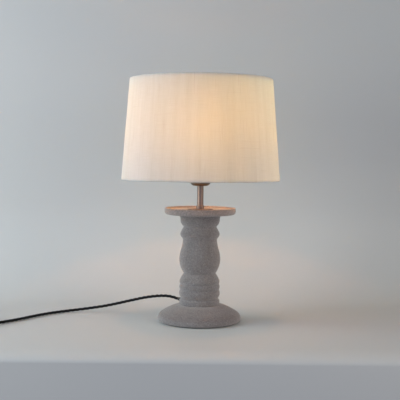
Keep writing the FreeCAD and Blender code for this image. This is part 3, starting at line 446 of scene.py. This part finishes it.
# The cloth's lapped seam runs up the back.
seam_points, seam_faces, seam_uv = [], [], []
SEAM_STEPS = 8
outer_rows = profile[first_outer - 3:last_outer + 3]
for i, (r, z, s) in enumerate(outer_rows):
    for j in range(SEAM_STEPS + 1):
        w = -0.5 + j / SEAM_STEPS
        edge = abs(w) * 2
        lift = 0.00042 if 0 < j < SEAM_STEPS else 0.00008
        a = math.radians(93.0) + (w * 0.0125 + 0.00018 * math.sin(0.8 * i)) / 0.166
        rr = r + lift + 0.00016 * math.sin(3 * a + 0.6)
        seam_points.append((rr * math.cos(a), rr * math.sin(a), z + (0.00035 if i < 3 else -0.00035 if i >= len(outer_rows) - 3 else 0.0)))
for i in range(len(outer_rows) - 1):
    for j in range(SEAM_STEPS):
        q = (i * (SEAM_STEPS + 1) + j, (i + 1) * (SEAM_STEPS + 1) + j, (i + 1) * (SEAM_STEPS + 1) + j + 1, i * (SEAM_STEPS + 1) + j + 1)
        seam_faces.append(q)
        for k in q:
            seam_uv.append((0.9 + 0.0016 * (k % (SEAM_STEPS + 1)), outer_rows[k // (SEAM_STEPS + 1)][2]))
seam = add_mesh("shade_seam", seam_points, seam_faces, uv=seam_uv)
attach(seam, "shade")


# ------------------------------------------------------------------ material helpers
class Graph:
    """A material's node tree, with short calls to add nodes and link them."""

    def __init__(self, name):
        self.material = bpy.data.materials.new(name)
        self.material.use_nodes = True
        self.tree = self.material.node_tree
        self.tree.nodes.clear()
        self.out = self.tree.nodes.new("ShaderNodeOutputMaterial")

    def add(self, kind, **values):
        n = self.tree.nodes.new(kind)
        for key, value in values.items():
            if hasattr(n, key) and key not in n.inputs:
                setattr(n, key, value)
            else:
                self.put(n, key.replace("_", " "), value)
        return n

    def put(self, n, socket, value):
        target = n.inputs[socket] if not isinstance(socket, int) else n.inputs[socket]
        if isinstance(value, bpy.types.NodeSocket):
            self.tree.links.new(value, target)
        elif isinstance(value, tuple) and len(value) == 3 and target.type == "RGBA":
            target.default_value = (*value, 1.0)
        else:
            target.default_value = value

    def coords(self, kind="Object"):
        return self.add("ShaderNodeTexCoord").outputs[kind]

    def uv(self, name):
        return self.add("ShaderNodeUVMap", uv_map=name).outputs["UV"]

    def scaled(self, vector, scale, offset=(0.0, 0.0, 0.0)):
        n = self.add("ShaderNodeMapping")
        self.put(n, "Vector", vector)
        n.inputs["Scale"].default_value = scale
        n.inputs["Location"].default_value = offset
        return n.outputs["Vector"]

    def noise(self, vector, scale, detail=2.0, rough=0.5, distortion=0.0):
        n = self.add("ShaderNodeTexNoise")
        self.put(n, "Vector", vector)
        n.inputs["Scale"].default_value = scale
        n.inputs["Detail"].default_value = detail
        n.inputs["Roughness"].default_value = rough
        n.inputs["Distortion"].default_value = distortion
        return n.outputs["Fac"]

    def cells(self, vector, scale, feature="F1"):
        n = self.add("ShaderNodeTexVoronoi")
        n.feature = feature
        self.put(n, "Vector", vector)
        n.inputs["Scale"].default_value = scale
        return n

    def math(self, operation, a, b=None, clamp=False):
        n = self.add("ShaderNodeMath")
        n.operation = operation
        n.use_clamp = clamp
        self.put(n, 0, a)
        if b is not None:
            self.put(n, 1, b)
        return n.outputs[0]

    def ramp(self, value, low, high, to_low=0.0, to_high=1.0):
        n = self.add("ShaderNodeMapRange")
        self.put(n, "Value", value)
        n.inputs["From Min"].default_value = low
        n.inputs["From Max"].default_value = high
        n.inputs["To Min"].default_value = to_low
        n.inputs["To Max"].default_value = to_high
        return n.outputs["Result"]

    def mix_colour(self, factor, a, b, blend="MIX"):
        n = self.add("ShaderNodeMix")
        n.data_type = "RGBA"
        n.blend_type = blend
        self.put(n, 0, factor)
        self.put(n, 6, a)
        self.put(n, 7, b)
        return n.outputs[2]

    def bump(self, height, strength, distance, normal=None):
        n = self.add("ShaderNodeBump")
        n.inputs["Strength"].default_value = strength
        n.inputs["Distance"].default_value = distance
        self.put(n, "Height", height)
        if normal is not None:
            self.put(n, "Normal", normal)
        return n.outputs["Normal"]

    def principled(self, **values):
        n = self.add("ShaderNodeBsdfPrincipled")
        for key, value in values.items():
            self.put(n, key.replace("_", " "), value)
        return n

    def finish(self, shader):
        self.tree.links.new(shader, self.out.inputs["Surface"])
        return self.material


def wear(obj, material):
    obj.data.materials.clear()
    obj.data.materials.append(material)


# ------------------------------------------------------------------ stone-effect coat
def stone_material(name="stone_effect"):
    g = Graph(name)
    at = g.coords()
    grain = g.noise(at, 620.0, 3.0, 0.65)
    coarse = g.noise(at, 330.0, 2.0, 0.5)
    mottle = g.noise(at, 95.0, 3.0, 0.55)
    cloud = g.noise(at, 17.0, 2.0, 0.5)
    specks = g.cells(at, 520.0)
    pick = g.add("ShaderNodeSeparateColor")
    g.put(pick, 0, specks.outputs["Color"])
    near = g.ramp(specks.outputs["Distance"], 0.18, 0.46, 1.0, 0.0)
    dark = g.math("MULTIPLY", g.ramp(pick.outputs[0], 0.80, 0.85), near)
    light = g.math("MULTIPLY", g.ramp(pick.outputs[1], 0.80, 0.85), near)
    tone = g.math("ADD", g.math("MULTIPLY", g.ramp(grain, 0.3, 0.7), 0.45),
                  g.math("ADD", g.math("MULTIPLY", g.ramp(coarse, 0.3, 0.7), 0.40), g.math("MULTIPLY", g.ramp(mottle, 0.3, 0.7), 0.15)))
    base = g.mix_colour(tone, (0.166, 0.152, 0.151), (0.302, 0.280, 0.277))
    warm = g.mix_colour(g.ramp(cloud, 0.38, 0.62, 0.0, 0.6), base, g.mix_colour(tone, (0.176, 0.150, 0.143), (0.316, 0.276, 0.262)))
    spotted = g.mix_colour(g.math("MULTIPLY", dark, 0.75), warm, (0.072, 0.067, 0.068))
    colour = g.mix_colour(g.math("MULTIPLY", light, 0.65), spotted, (0.46, 0.445, 0.44))
    # Tints by zone, fitted to the photo: painted light on the dish's lip (lighter), painted warm lamp light inside the
    # dish (browner), painted shade over the foot's dome (darker).
    place = g.add("ShaderNodeSeparateXYZ")
    g.put(place, 0, at)
    x, y, z = place.outputs
    out2 = g.math("ADD", g.math("MULTIPLY", x, x), g.math("MULTIPLY", y, y))
    high = g.ramp(z, 0.234, 0.240)
    lip_painted_light = g.math("MULTIPLY", high, g.ramp(out2, 0.062 ** 2, 0.066 ** 2))
    bowl_painted_lamp_light = g.math("MULTIPLY", high, g.ramp(out2, 0.066 ** 2, 0.062 ** 2))
    dome_painted_shade = g.math("MULTIPLY", g.ramp(z, 0.010, 0.017), g.ramp(z, 0.042, 0.034))
    # Painted light on the dish's lip, painted warm lamp light in the bowl, painted shade on the foot's dome.
    colour = g.mix_colour(lip_painted_light, colour, g.mix_colour(1.0, colour, (1.30, 1.20, 1.16), "MULTIPLY"))
    colour = g.mix_colour(bowl_painted_lamp_light, colour, g.mix_colour(1.0, colour, (1.02, 0.93, 0.85), "MULTIPLY"))
    colour = g.mix_colour(dome_painted_shade, colour, g.mix_colour(1.0, colour, (0.86, 0.81, 0.79), "MULTIPLY"))
    rough = g.ramp(grain, 0.3, 0.7, 0.82, 0.94)
    pits = g.math("SUBTRACT", g.math("ADD", grain, g.math("MULTIPLY", coarse, 0.35)), g.math("MULTIPLY", dark, 0.30))
    normal = g.bump(pits, 0.6, 0.00055)
    shader = g.principled(Base_Color=colour, Roughness=rough, Normal=normal)
    shader.inputs["Diffuse Roughness"].default_value = 1.0
    shader.inputs["Specular IOR Level"].default_value = 0.28
    shader.inputs["Sheen Weight"].default_value = 0.22
    shader.inputs["Sheen Roughness"].default_value = 0.45
    return g.finish(shader.outputs[0])


# ------------------------------------------------------------------ cloth
def linen_material(name="linen", through=0.42):
    g = Graph(name)
    uv = g.uv("cloth")
    warp = g.noise(g.scaled(uv, (1150.0, 34.0, 1.0)), 1.0, 1.0, 0.5)
    weft = g.noise(g.scaled(uv, (34.0, 1150.0, 1.0), (3.1, 0.4, 0.0)), 1.0, 1.0, 0.5)
    slub_up = g.noise(g.scaled(uv, (300.0, 11.0, 1.0), (7.7, 2.1, 0.0)), 1.0, 2.0, 0.55)
    slub_across = g.noise(g.scaled(uv, (10.0, 300.0, 1.0), (1.7, 5.1, 0.0)), 1.0, 2.0, 0.55)
    band = g.noise(g.scaled(uv, (75.0, 3.2, 1.0), (2.2, 8.8, 0.0)), 1.0, 2.0, 0.5)
    weave = g.math("ADD", g.math("MULTIPLY", warp, 0.5), g.math("MULTIPLY", weft, 0.5))
    thick_up = g.ramp(slub_up, 0.58, 0.74)
    thick_across = g.ramp(slub_across, 0.60, 0.76)
    thin_up = g.ramp(slub_up, 0.42, 0.28)
    thick = g.math("ADD", g.math("MULTIPLY", thick_up, 0.65), g.math("MULTIPLY", thick_across, 0.45), clamp=True)
    tone = g.math("ADD", g.math("MULTIPLY", g.ramp(weave, 0.35, 0.65), 0.55), g.math("MULTIPLY", g.ramp(band, 0.3, 0.7), 0.45))
    face = g.mix_colour(tone, (0.740, 0.717, 0.786), (0.836, 0.818, 0.900))
    face = g.mix_colour(g.math("MULTIPLY", thick, 0.40), face, (0.630, 0.600, 0.612))
    glow = g.mix_colour(tone, (0.525, 0.590, 0.225), (0.585, 0.655, 0.320))
    glow = g.mix_colour(g.math("MULTIPLY", thick, 0.50), glow, (0.400, 0.405, 0.133))
    glow = g.mix_colour(g.math("MULTIPLY", thin_up, 0.30), glow, (0.60, 0.67, 0.345))
    height = g.math("ADD", weave, g.math("MULTIPLY", thick, 0.8))
    normal = g.bump(height, 0.35, 0.00025)
    front = g.add("ShaderNodeBsdfDiffuse")
    g.put(front, "Color", face)
    g.put(front, "Normal", normal)
    front.inputs["Roughness"].default_value = 0.6
    back = g.add("ShaderNodeBsdfTranslucent")
    g.put(back, "Color", glow)
    g.put(back, "Normal", normal)
    # Light from the lamp leaves the threads mostly ahead, less to the sides, and a little goes straight through the gaps.
    ahead = g.add("ShaderNodeBsdfRefraction")
    g.put(ahead, "Color", glow)
    ahead.inputs["Roughness"].default_value = 1.0
    ahead.inputs["IOR"].default_value = 0.45
    straight = g.add("ShaderNodeBsdfRefraction")
    g.put(straight, "Color", glow)
    straight.inputs["Roughness"].default_value = 0.8
    straight.inputs["IOR"].default_value = 0.87
    spread = g.add("ShaderNodeMixShader")
    spread.inputs[0].default_value = 0.12
    g.tree.links.new(back.outputs[0], spread.inputs[1])
    g.tree.links.new(ahead.outputs[0], spread.inputs[2])
    passed = g.add("ShaderNodeMixShader")
    passed.inputs[0].default_value = 0.006
    g.tree.links.new(spread.outputs[0], passed.inputs[1])
    g.tree.links.new(straight.outputs[0], passed.inputs[2])
    both = g.add("ShaderNodeMixShader")
    both.inputs[0].default_value = through
    g.tree.links.new(front.outputs[0], both.inputs[1])
    g.tree.links.new(passed.outputs[0], both.inputs[2])
    return g.finish(both.outputs[0])


def liner_material():
    g = Graph("shade_liner")
    at = g.coords()
    fine = g.noise(at, 1400.0, 2.0, 0.5)
    wide = g.noise(at, 40.0, 2.0, 0.5)
    tint = g.mix_colour(g.ramp(wide, 0.3, 0.7), (0.86, 0.845, 0.81), (0.90, 0.89, 0.86))
    normal = g.bump(fine, 0.12, 0.00008)
    solid = g.add("ShaderNodeBsdfDiffuse")
    g.put(solid, "Color", tint)
    g.put(solid, "Normal", normal)
    spread = g.add("ShaderNodeBsdfTranslucent")
    g.put(spread, "Color", tint)
    g.put(spread, "Normal", normal)
    body = g.add("ShaderNodeMixShader")
    body.inputs[0].default_value = 0.45
    g.tree.links.new(solid.outputs[0], body.inputs[1])
    g.tree.links.new(spread.outputs[0], body.inputs[2])
    clear = g.add("ShaderNodeBsdfTransparent")
    clear.inputs["Color"].default_value = (1.0, 1.0, 1.0, 1.0)
    both = g.add("ShaderNodeMixShader")
    both.inputs[0].default_value = 0.92
    g.tree.links.new(body.outputs[0], both.inputs[1])
    g.tree.links.new(clear.outputs[0], both.inputs[2])
    return g.finish(both.outputs[0])


def bulb_material():
    g = Graph("bulb_glass")
    at = g.coords()
    fine = g.noise(at, 900.0, 2.0, 0.5)
    normal = g.bump(fine, 0.08, 0.00006)
    frosted = g.principled(Base_Color=(0.93, 0.91, 0.86), Roughness=g.ramp(fine, 0.3, 0.7, 0.22, 0.34), Normal=normal)
    frosted.inputs["Emission Color"].default_value = (1.0, 0.62, 0.27, 1.0)
    frosted.inputs["Emission Strength"].default_value = 3.0
    clear = g.add("ShaderNodeBsdfTransparent")
    clear.inputs["Color"].default_value = (1.0, 1.0, 1.0, 1.0)
    both = g.add("ShaderNodeMixShader")
    both.inputs[0].default_value = 0.6
    g.tree.links.new(frosted.outputs[0], both.inputs[1])
    g.tree.links.new(clear.outputs[0], both.inputs[2])
    return g.finish(both.outputs[0])


# ------------------------------------------------------------------ metals, mouldings and the rest
def metal_material(name, dark, light, rough, lines=(60.0, 60.0, 2600.0), strength=0.12, metallic=1.0, spots=0.0):
    """Metal with fine turned or drawn lines. lines is how often they repeat along X, Y and Z."""
    g = Graph(name)
    at = g.coords()
    drawn = g.noise(g.scaled(at, lines), 1.0, 2.0, 0.6)
    haze = g.noise(at, 70.0, 3.0, 0.6)
    fine = g.noise(at, 1800.0, 2.0, 0.5)
    colour = g.mix_colour(g.ramp(g.math("ADD", g.math("MULTIPLY", drawn, 0.6), g.math("MULTIPLY", haze, 0.4)), 0.35, 0.65), dark, light)
    if spots:
        colour = g.mix_colour(g.math("MULTIPLY", g.ramp(g.noise(at, 210.0, 4.0, 0.65), 0.60, 0.72), spots), colour, tuple(0.45 * c for c in dark))
    roughness = g.math("ADD", g.ramp(haze, 0.3, 0.7, rough * 0.85, rough * 1.15), g.math("MULTIPLY", drawn, 0.06), clamp=True)
    normal = g.bump(g.math("ADD", drawn, g.math("MULTIPLY", fine, 0.4)), strength, 0.00012)
    shader = g.principled(Base_Color=colour, Roughness=roughness, Normal=normal)
    shader.inputs["Metallic"].default_value = metallic
    return g.finish(shader.outputs[0])


def moulding_material(name, dark, light, rough, grain=1500.0, strength=0.15, sheen=0.0):
    """Moulded or cast stuff with a fine surface grain."""
    g = Graph(name)
    at = g.coords()
    fine = g.noise(at, grain, 3.0, 0.6)
    wide = g.noise(at, 45.0, 3.0, 0.55)
    colour = g.mix_colour(g.math("ADD", g.math("MULTIPLY", fine, 0.5), g.math("MULTIPLY", wide, 0.5)), dark, light)
    roughness = g.ramp(wide, 0.3, 0.7, rough * 0.85, min(1.0, rough * 1.15))
    normal = g.bump(fine, strength, 0.00012)
    shader = g.principled(Base_Color=colour, Roughness=roughness, Normal=normal)
    if sheen:
        shader.inputs["Sheen Weight"].default_value = sheen
        shader.inputs["Sheen Roughness"].default_value = 0.4
    return g.finish(shader.outputs[0])


def felt_material():
    g = Graph("felt")
    at = g.coords()
    hair = g.noise(at, 1300.0, 4.0, 0.7, 1.2)
    patch = g.noise(at, 130.0, 3.0, 0.6)
    colour = g.mix_colour(g.ramp(g.math("ADD", g.math("MULTIPLY", hair, 0.65), g.math("MULTIPLY", patch, 0.35)), 0.35, 0.65),
                          (0.018, 0.022, 0.019), (0.055, 0.062, 0.055))
    shader = g.principled(Base_Color=colour, Roughness=0.95, Normal=g.bump(hair, 0.7, 0.0005))
    shader.inputs["Sheen Weight"].default_value = 0.35
    shader.inputs["Sheen Roughness"].default_value = 0.5
    return g.finish(shader.outputs[0])


def braid_material():
    """Woven cotton over each core: two sets of threads that cross, with painted shade where they dip."""
    g = Graph("flex_braid")
    uv = g.uv("braid")
    split = g.add("ShaderNodeSeparateXYZ")
    g.put(split, 0, uv)
    along, round_ = split.outputs[0], split.outputs[1]
    turn = 2 * math.pi
    a = g.math("MULTIPLY", along, turn / 0.0021)
    b = g.math("MULTIPLY", round_, turn * 6)
    one = g.math("SINE", g.math("ADD", a, b))
    two = g.math("SINE", g.math("SUBTRACT", a, b))
    over = g.math("MAXIMUM", one, two)
    fuzz = g.noise(g.coords(), 2200.0, 3.0, 0.6)
    # Painted shade: the colour is darker where the threads dip and lighter where they cross over.
    high = g.ramp(over, -0.2, 1.0)
    tone = g.math("ADD", g.math("MULTIPLY", high, 0.65), g.math("MULTIPLY", fuzz, 0.35))
    colour = g.mix_colour(tone, (0.0016, 0.0016, 0.0018), (0.0095, 0.0096, 0.0108))
    normal = g.bump(tone, 0.6, 0.00025)
    shader = g.principled(Base_Color=colour, Roughness=0.72, Normal=normal)
    shader.inputs["Sheen Weight"].default_value = 0.08
    shader.inputs["Sheen Roughness"].default_value = 0.4
    shader.inputs["Sheen Tint"].default_value = (0.80, 0.86, 1.0, 1.0)
    shader.inputs["Specular IOR Level"].default_value = 0.16
    return g.finish(shader.outputs[0])


def strap_material():
    """Woven nylon strap: ribs across it, a selvedge at each side and a little fuzz."""
    g = Graph("black_rubber_strap")
    split = g.add("ShaderNodeSeparateXYZ")
    g.put(split, 0, g.uv("weave"))
    rib = g.math("SINE", g.math("MULTIPLY", split.outputs[0], 2 * math.pi / 0.0011))
    cord = g.math("SINE", g.math("MULTIPLY", split.outputs[1], 2 * math.pi / 0.0009))
    edge = g.ramp(g.math("ABSOLUTE", split.outputs[1]), 0.0032, 0.0036)
    fuzz = g.noise(g.coords(), 1900.0, 3.0, 0.6)
    high = g.math("ADD", g.math("MULTIPLY", g.math("MAXIMUM", rib, cord), 0.6), g.math("MULTIPLY", edge, 0.5))
    tone = g.math("ADD", g.math("MULTIPLY", high, 0.5), g.math("MULTIPLY", fuzz, 0.5), clamp=True)
    colour = g.mix_colour(tone, (0.006, 0.006, 0.007), (0.030, 0.030, 0.033))
    shader = g.principled(Base_Color=colour, Roughness=0.68, Normal=g.bump(tone, 0.6, 0.0003))
    shader.inputs["Sheen Weight"].default_value = 0.15
    return g.finish(shader.outputs[0])


def cores_material():
    """Insulated cores beside each other: brown, blue and green-yellow by the side of the bundle they lie on."""
    g = Graph("core_sheath")
    at = g.coords()
    cell = g.cells(g.scaled(at, (1.0, 1.0, 0.12)), 420.0)
    pick = g.add("ShaderNodeSeparateColor")
    g.put(pick, 0, cell.outputs["Color"])
    first = g.mix_colour(g.ramp(pick.outputs[0], 0.32, 0.34), (0.12, 0.055, 0.028), (0.03, 0.12, 0.42))
    colour = g.mix_colour(g.ramp(pick.outputs[0], 0.65, 0.67), first, (0.30, 0.42, 0.06))
    shader = g.principled(Base_Color=colour, Roughness=0.35, Normal=g.bump(g.noise(at, 700.0), 0.1, 0.0002))
    return g.finish(shader.outputs[0])


def filament_material():
    g = Graph("filament")
    at = g.coords()
    grain = g.noise(at, 1200.0, 2.0, 0.5)
    colour = g.mix_colour(grain, (0.80, 0.52, 0.16), (0.95, 0.74, 0.30))
    shader = g.principled(Base_Color=colour, Roughness=0.6, Normal=g.bump(grain, 0.2, 0.0001))
    shader.inputs["Emission Color"].default_value = (1.0, 0.62, 0.22, 1.0)
    shader.inputs["Emission Strength"].default_value = 14.0
    return g.finish(shader.outputs[0])


stone = stone_material()
linen = linen_material()
liner = liner_material()
white_wire = moulding_material("white_wire", (0.74, 0.73, 0.70), (0.86, 0.85, 0.83), 0.38, 600.0, 0.08)
nickel = metal_material("brushed_nickel", (0.169, 0.125, 0.110), (0.223, 0.170, 0.154), 0.42)
holder_metal = metal_material("holder_metal", (0.221, 0.200, 0.173), (0.309, 0.287, 0.256), 0.36)
plated = metal_material("plated_steel", (0.50, 0.50, 0.49), (0.70, 0.70, 0.68), 0.36, (900.0, 900.0, 900.0), 0.1, spots=0.25)
brass = metal_material("brass", (0.58, 0.40, 0.17), (0.78, 0.58, 0.28), 0.32, (600.0, 600.0, 1800.0), 0.1, spots=0.2)
aluminium = metal_material("bulb_aluminium", (0.62, 0.61, 0.60), (0.80, 0.79, 0.78), 0.30, (120.0, 120.0, 1500.0), 0.1)
iron = metal_material("ballast_iron", (0.055, 0.055, 0.056), (0.12, 0.118, 0.115), 0.72, (420.0, 420.0, 420.0), 0.8, 0.6, spots=0.5)
felt = felt_material()
black_moulding = moulding_material("black_moulding", (0.012, 0.012, 0.013), (0.028, 0.028, 0.030), 0.36, 1600.0, 0.2)
black_rubber = moulding_material("black_rubber", (0.010, 0.010, 0.011), (0.022, 0.022, 0.024), 0.62, 1100.0, 0.3)
black_glass = moulding_material("bulb_black_glass", (0.006, 0.006, 0.008), (0.016, 0.016, 0.020), 0.12, 400.0, 0.05)
porcelain = moulding_material("porcelain", (0.70, 0.68, 0.63), (0.84, 0.82, 0.78), 0.55, 900.0, 0.2)
fuse_body = moulding_material("fuse_ceramic", (0.66, 0.63, 0.57), (0.80, 0.77, 0.71), 0.45, 900.0, 0.12)
frosted = bulb_material()
braid = braid_material()
cores = cores_material()
filament = filament_material()

WEARS = {
    "stone_effect": stone,
    "linen": linen,
    "shade_liner": liner,
    "white_wire": white_wire,
    "brushed_nickel": nickel,
    "holder_metal": holder_metal,
    "plated_steel": plated,
    "brass": brass,
    "ballast_iron": iron,
    "felt": felt,
    "black_moulding": black_moulding,
    "black_rubber": black_rubber,
    "core_sheath": cores,
    "porcelain": porcelain,
    "bulb_glass": frosted,
    "bulb_black_glass": black_glass,
    "bulb_aluminium": aluminium,
    "filament": filament,
    "flex_braid": braid,
    "fuse_ceramic": fuse_body,
}
for row in frame["record"]["subparts"]:
    if row["node"] in node:
        wear(node[row["node"]], WEARS[row["material_slot"]])
wear(flex, braid)
wear(tie, strap_material())
wear(cover, linen)
wear(seam, linen)


# ------------------------------------------------------------------ light of the lamp itself
def lamp_light(name, kind, place, power, colour, size):
    data = bpy.data.lights.new(name, kind)
    data.energy = power
    data.color = colour
    if kind == "POINT":
        data.shadow_soft_size = size
    obj = bpy.data.objects.new(name, data)
    obj.location = place
    scene.collection.objects.link(obj)
    return obj


bulb_light = lamp_light("bulb_light", "POINT", (0.0, 0.0, 0.438), 4.500, (1.000, 0.400, 0.110), 0.012)
# The bulb sends less light up past its crown than to its sides.
bulb_light.data.use_nodes = True
tree = bulb_light.data.node_tree
tree.nodes.clear()
aim = tree.nodes.new("ShaderNodeTexCoord")
parts = tree.nodes.new("ShaderNodeSeparateXYZ")
crown = tree.nodes.new("ShaderNodeMapRange")
crown.interpolation_type = "SMOOTHSTEP"
crown.inputs["From Min"].default_value = 0.42
crown.inputs["From Max"].default_value = 0.62
crown.inputs["To Min"].default_value = 1.0
crown.inputs["To Max"].default_value = 0.08
glows = tree.nodes.new("ShaderNodeEmission")
ends = tree.nodes.new("ShaderNodeOutputLight")
tree.links.new(aim.outputs["Normal"], parts.inputs[0])
tree.links.new(parts.outputs["Z"], crown.inputs["Value"])
tree.links.new(crown.outputs["Result"], glows.inputs["Strength"])
tree.links.new(glows.outputs[0], ends.inputs[0])


# What the shade's inside sends down on the dish and the table round the foot.
bounce = bpy.data.lights.new("shade_bounce", "AREA")
bounce.shape = "DISK"
bounce.size = 0.14
bounce.energy = 0.085
bounce.color = (1.0, 0.42, 0.11)
bounce.spread = math.radians(110.0)
bounce_light = bpy.data.objects.new("shade_bounce", bounce)
bounce_light.location = (0.0, 0.0, 0.302)
bounce_light.visible_camera = False
scene.collection.objects.link(bounce_light)


# ------------------------------------------------------------------ stage
def stage_sheet():
    """One sheet: hangs down in front, bends over the table's front edge, lies flat, and sweeps up behind."""
    edge_y, edge_in, edge_down = -0.326, 0.055, 0.018
    wall_y, cove_r = 0.425, 0.24
    rows = [(edge_y, -2.2), (edge_y, -1.0), (edge_y, -0.3), (edge_y, -edge_down)]
    for i in range(1, 11):
        a = math.radians(180 - 90 * i / 10)
        rows.append((edge_y + edge_in + edge_in * math.cos(a), -edge_down + edge_down * math.sin(a)))
    rows += [(-0.2, 0.0), (0.0, 0.0), (0.15, 0.0)]
    for i in range(0, 17):
        a = math.radians(-90 + 90 * i / 16)
        rows.append((wall_y - cove_r + cove_r * math.cos(a), cove_r + cove_r * math.sin(a)))
    rows += [(wall_y, 0.5), (wall_y, 1.0), (wall_y, 3.0)]
    xs = [-4.0, -2.0, -1.0, 0.0, 1.0, 2.0, 4.0]
    points = [(x, y, z - 0.0004) for y, z in rows for x in xs]
    n = len(xs)
    faces = [(i * n + j, i * n + j + 1, (i + 1) * n + j + 1, (i + 1) * n + j) for i in range(len(rows) - 1) for j in range(n - 1)]
    return add_mesh("stage_sheet", points, faces)


def stage_material():
    g = Graph("stage_paper")
    at = g.coords()
    fine = g.noise(at, 260.0, 3.0, 0.6)
    wide = g.noise(at, 2.2, 2.0, 0.5)
    colour = g.mix_colour(g.math("ADD", g.math("MULTIPLY", fine, 0.25), g.math("MULTIPLY", wide, 0.75)), (0.485, 0.485, 0.485), (0.515, 0.515, 0.515))
    face = g.principled(Base_Color=colour, Roughness=0.55)
    through = g.add("ShaderNodeBsdfTransparent")
    through.inputs["Color"].default_value = (1.0, 1.0, 1.0, 1.0)
    side = g.add("ShaderNodeNewGeometry").outputs["Backfacing"]
    both = g.add("ShaderNodeMixShader")
    g.put(both, 0, side)
    g.tree.links.new(face.outputs[0], both.inputs[1])
    g.tree.links.new(through.outputs[0], both.inputs[2])
    return g.finish(both.outputs[0])


sheet = stage_sheet()
wear(sheet, stage_material())


def soft_box(name, place, aim, width, height, power, colour, spread=180.0):
    data = bpy.data.lights.new(name, "AREA")
    data.shape = "RECTANGLE"
    data.size = width
    data.size_y = height
    data.spread = math.radians(spread)
    data.energy = power
    data.color = colour
    obj = bpy.data.objects.new(name, data)
    obj.location = place
    obj.rotation_mode = "QUATERNION"
    obj.rotation_quaternion = (Vector(aim) - Vector(place)).to_track_quat("-Z", "Y")
    obj.visible_camera = False
    scene.collection.objects.link(obj)
    return obj


soft_box("edgelow", (-2.0, -0.9, 0.42), (0.0, 0.3, 0.42), 1.5, 0.8, 25.42, (0.994, 1.000, 0.857))
soft_box("winback", (-2.3, 0.35, 1.2), (0.0, 0.2, 0.2), 0.8, 2.0, 32.67, (0.999, 1.000, 0.752))
soft_box("winmid", (-2.3, -0.7, 1.3), (0.0, 0.0, 0.3), 1.2, 2.2, 32.48, (0.513, 0.711, 1.000))
soft_box("low", (0.0, -3.4, 0.35), (0.0, 0.0, 0.3), 3.2, 1.2, 17.60, (0.689, 0.725, 1.000))
soft_box("lowright", (1.7, -2.2, -0.25), (0.3, -0.35, -0.1), 1.0, 0.4, 3.40, (0.920, 1.000, 0.661))
soft_box("fill", (2.7, -1.1, 1.5), (0.0, -0.2, 0.3), 3.6, 2.6, 43.75, (1.000, 0.925, 0.760))
soft_box("kick", (1.15, -0.75, 0.42), (0.0, 0.05, 0.16), 0.6, 0.6, 0.45, (1.000, 0.876, 0.768), 50.0)

world = bpy.data.worlds.new("world")
scene.world = world
world.use_nodes = True
background = world.node_tree.nodes.get("Background") or world.node_tree.nodes.new("ShaderNodeBackground")
background.inputs["Color"].default_value = (0.625, 0.750, 1.000, 1.0)
background.inputs["Strength"].default_value = 0.1600
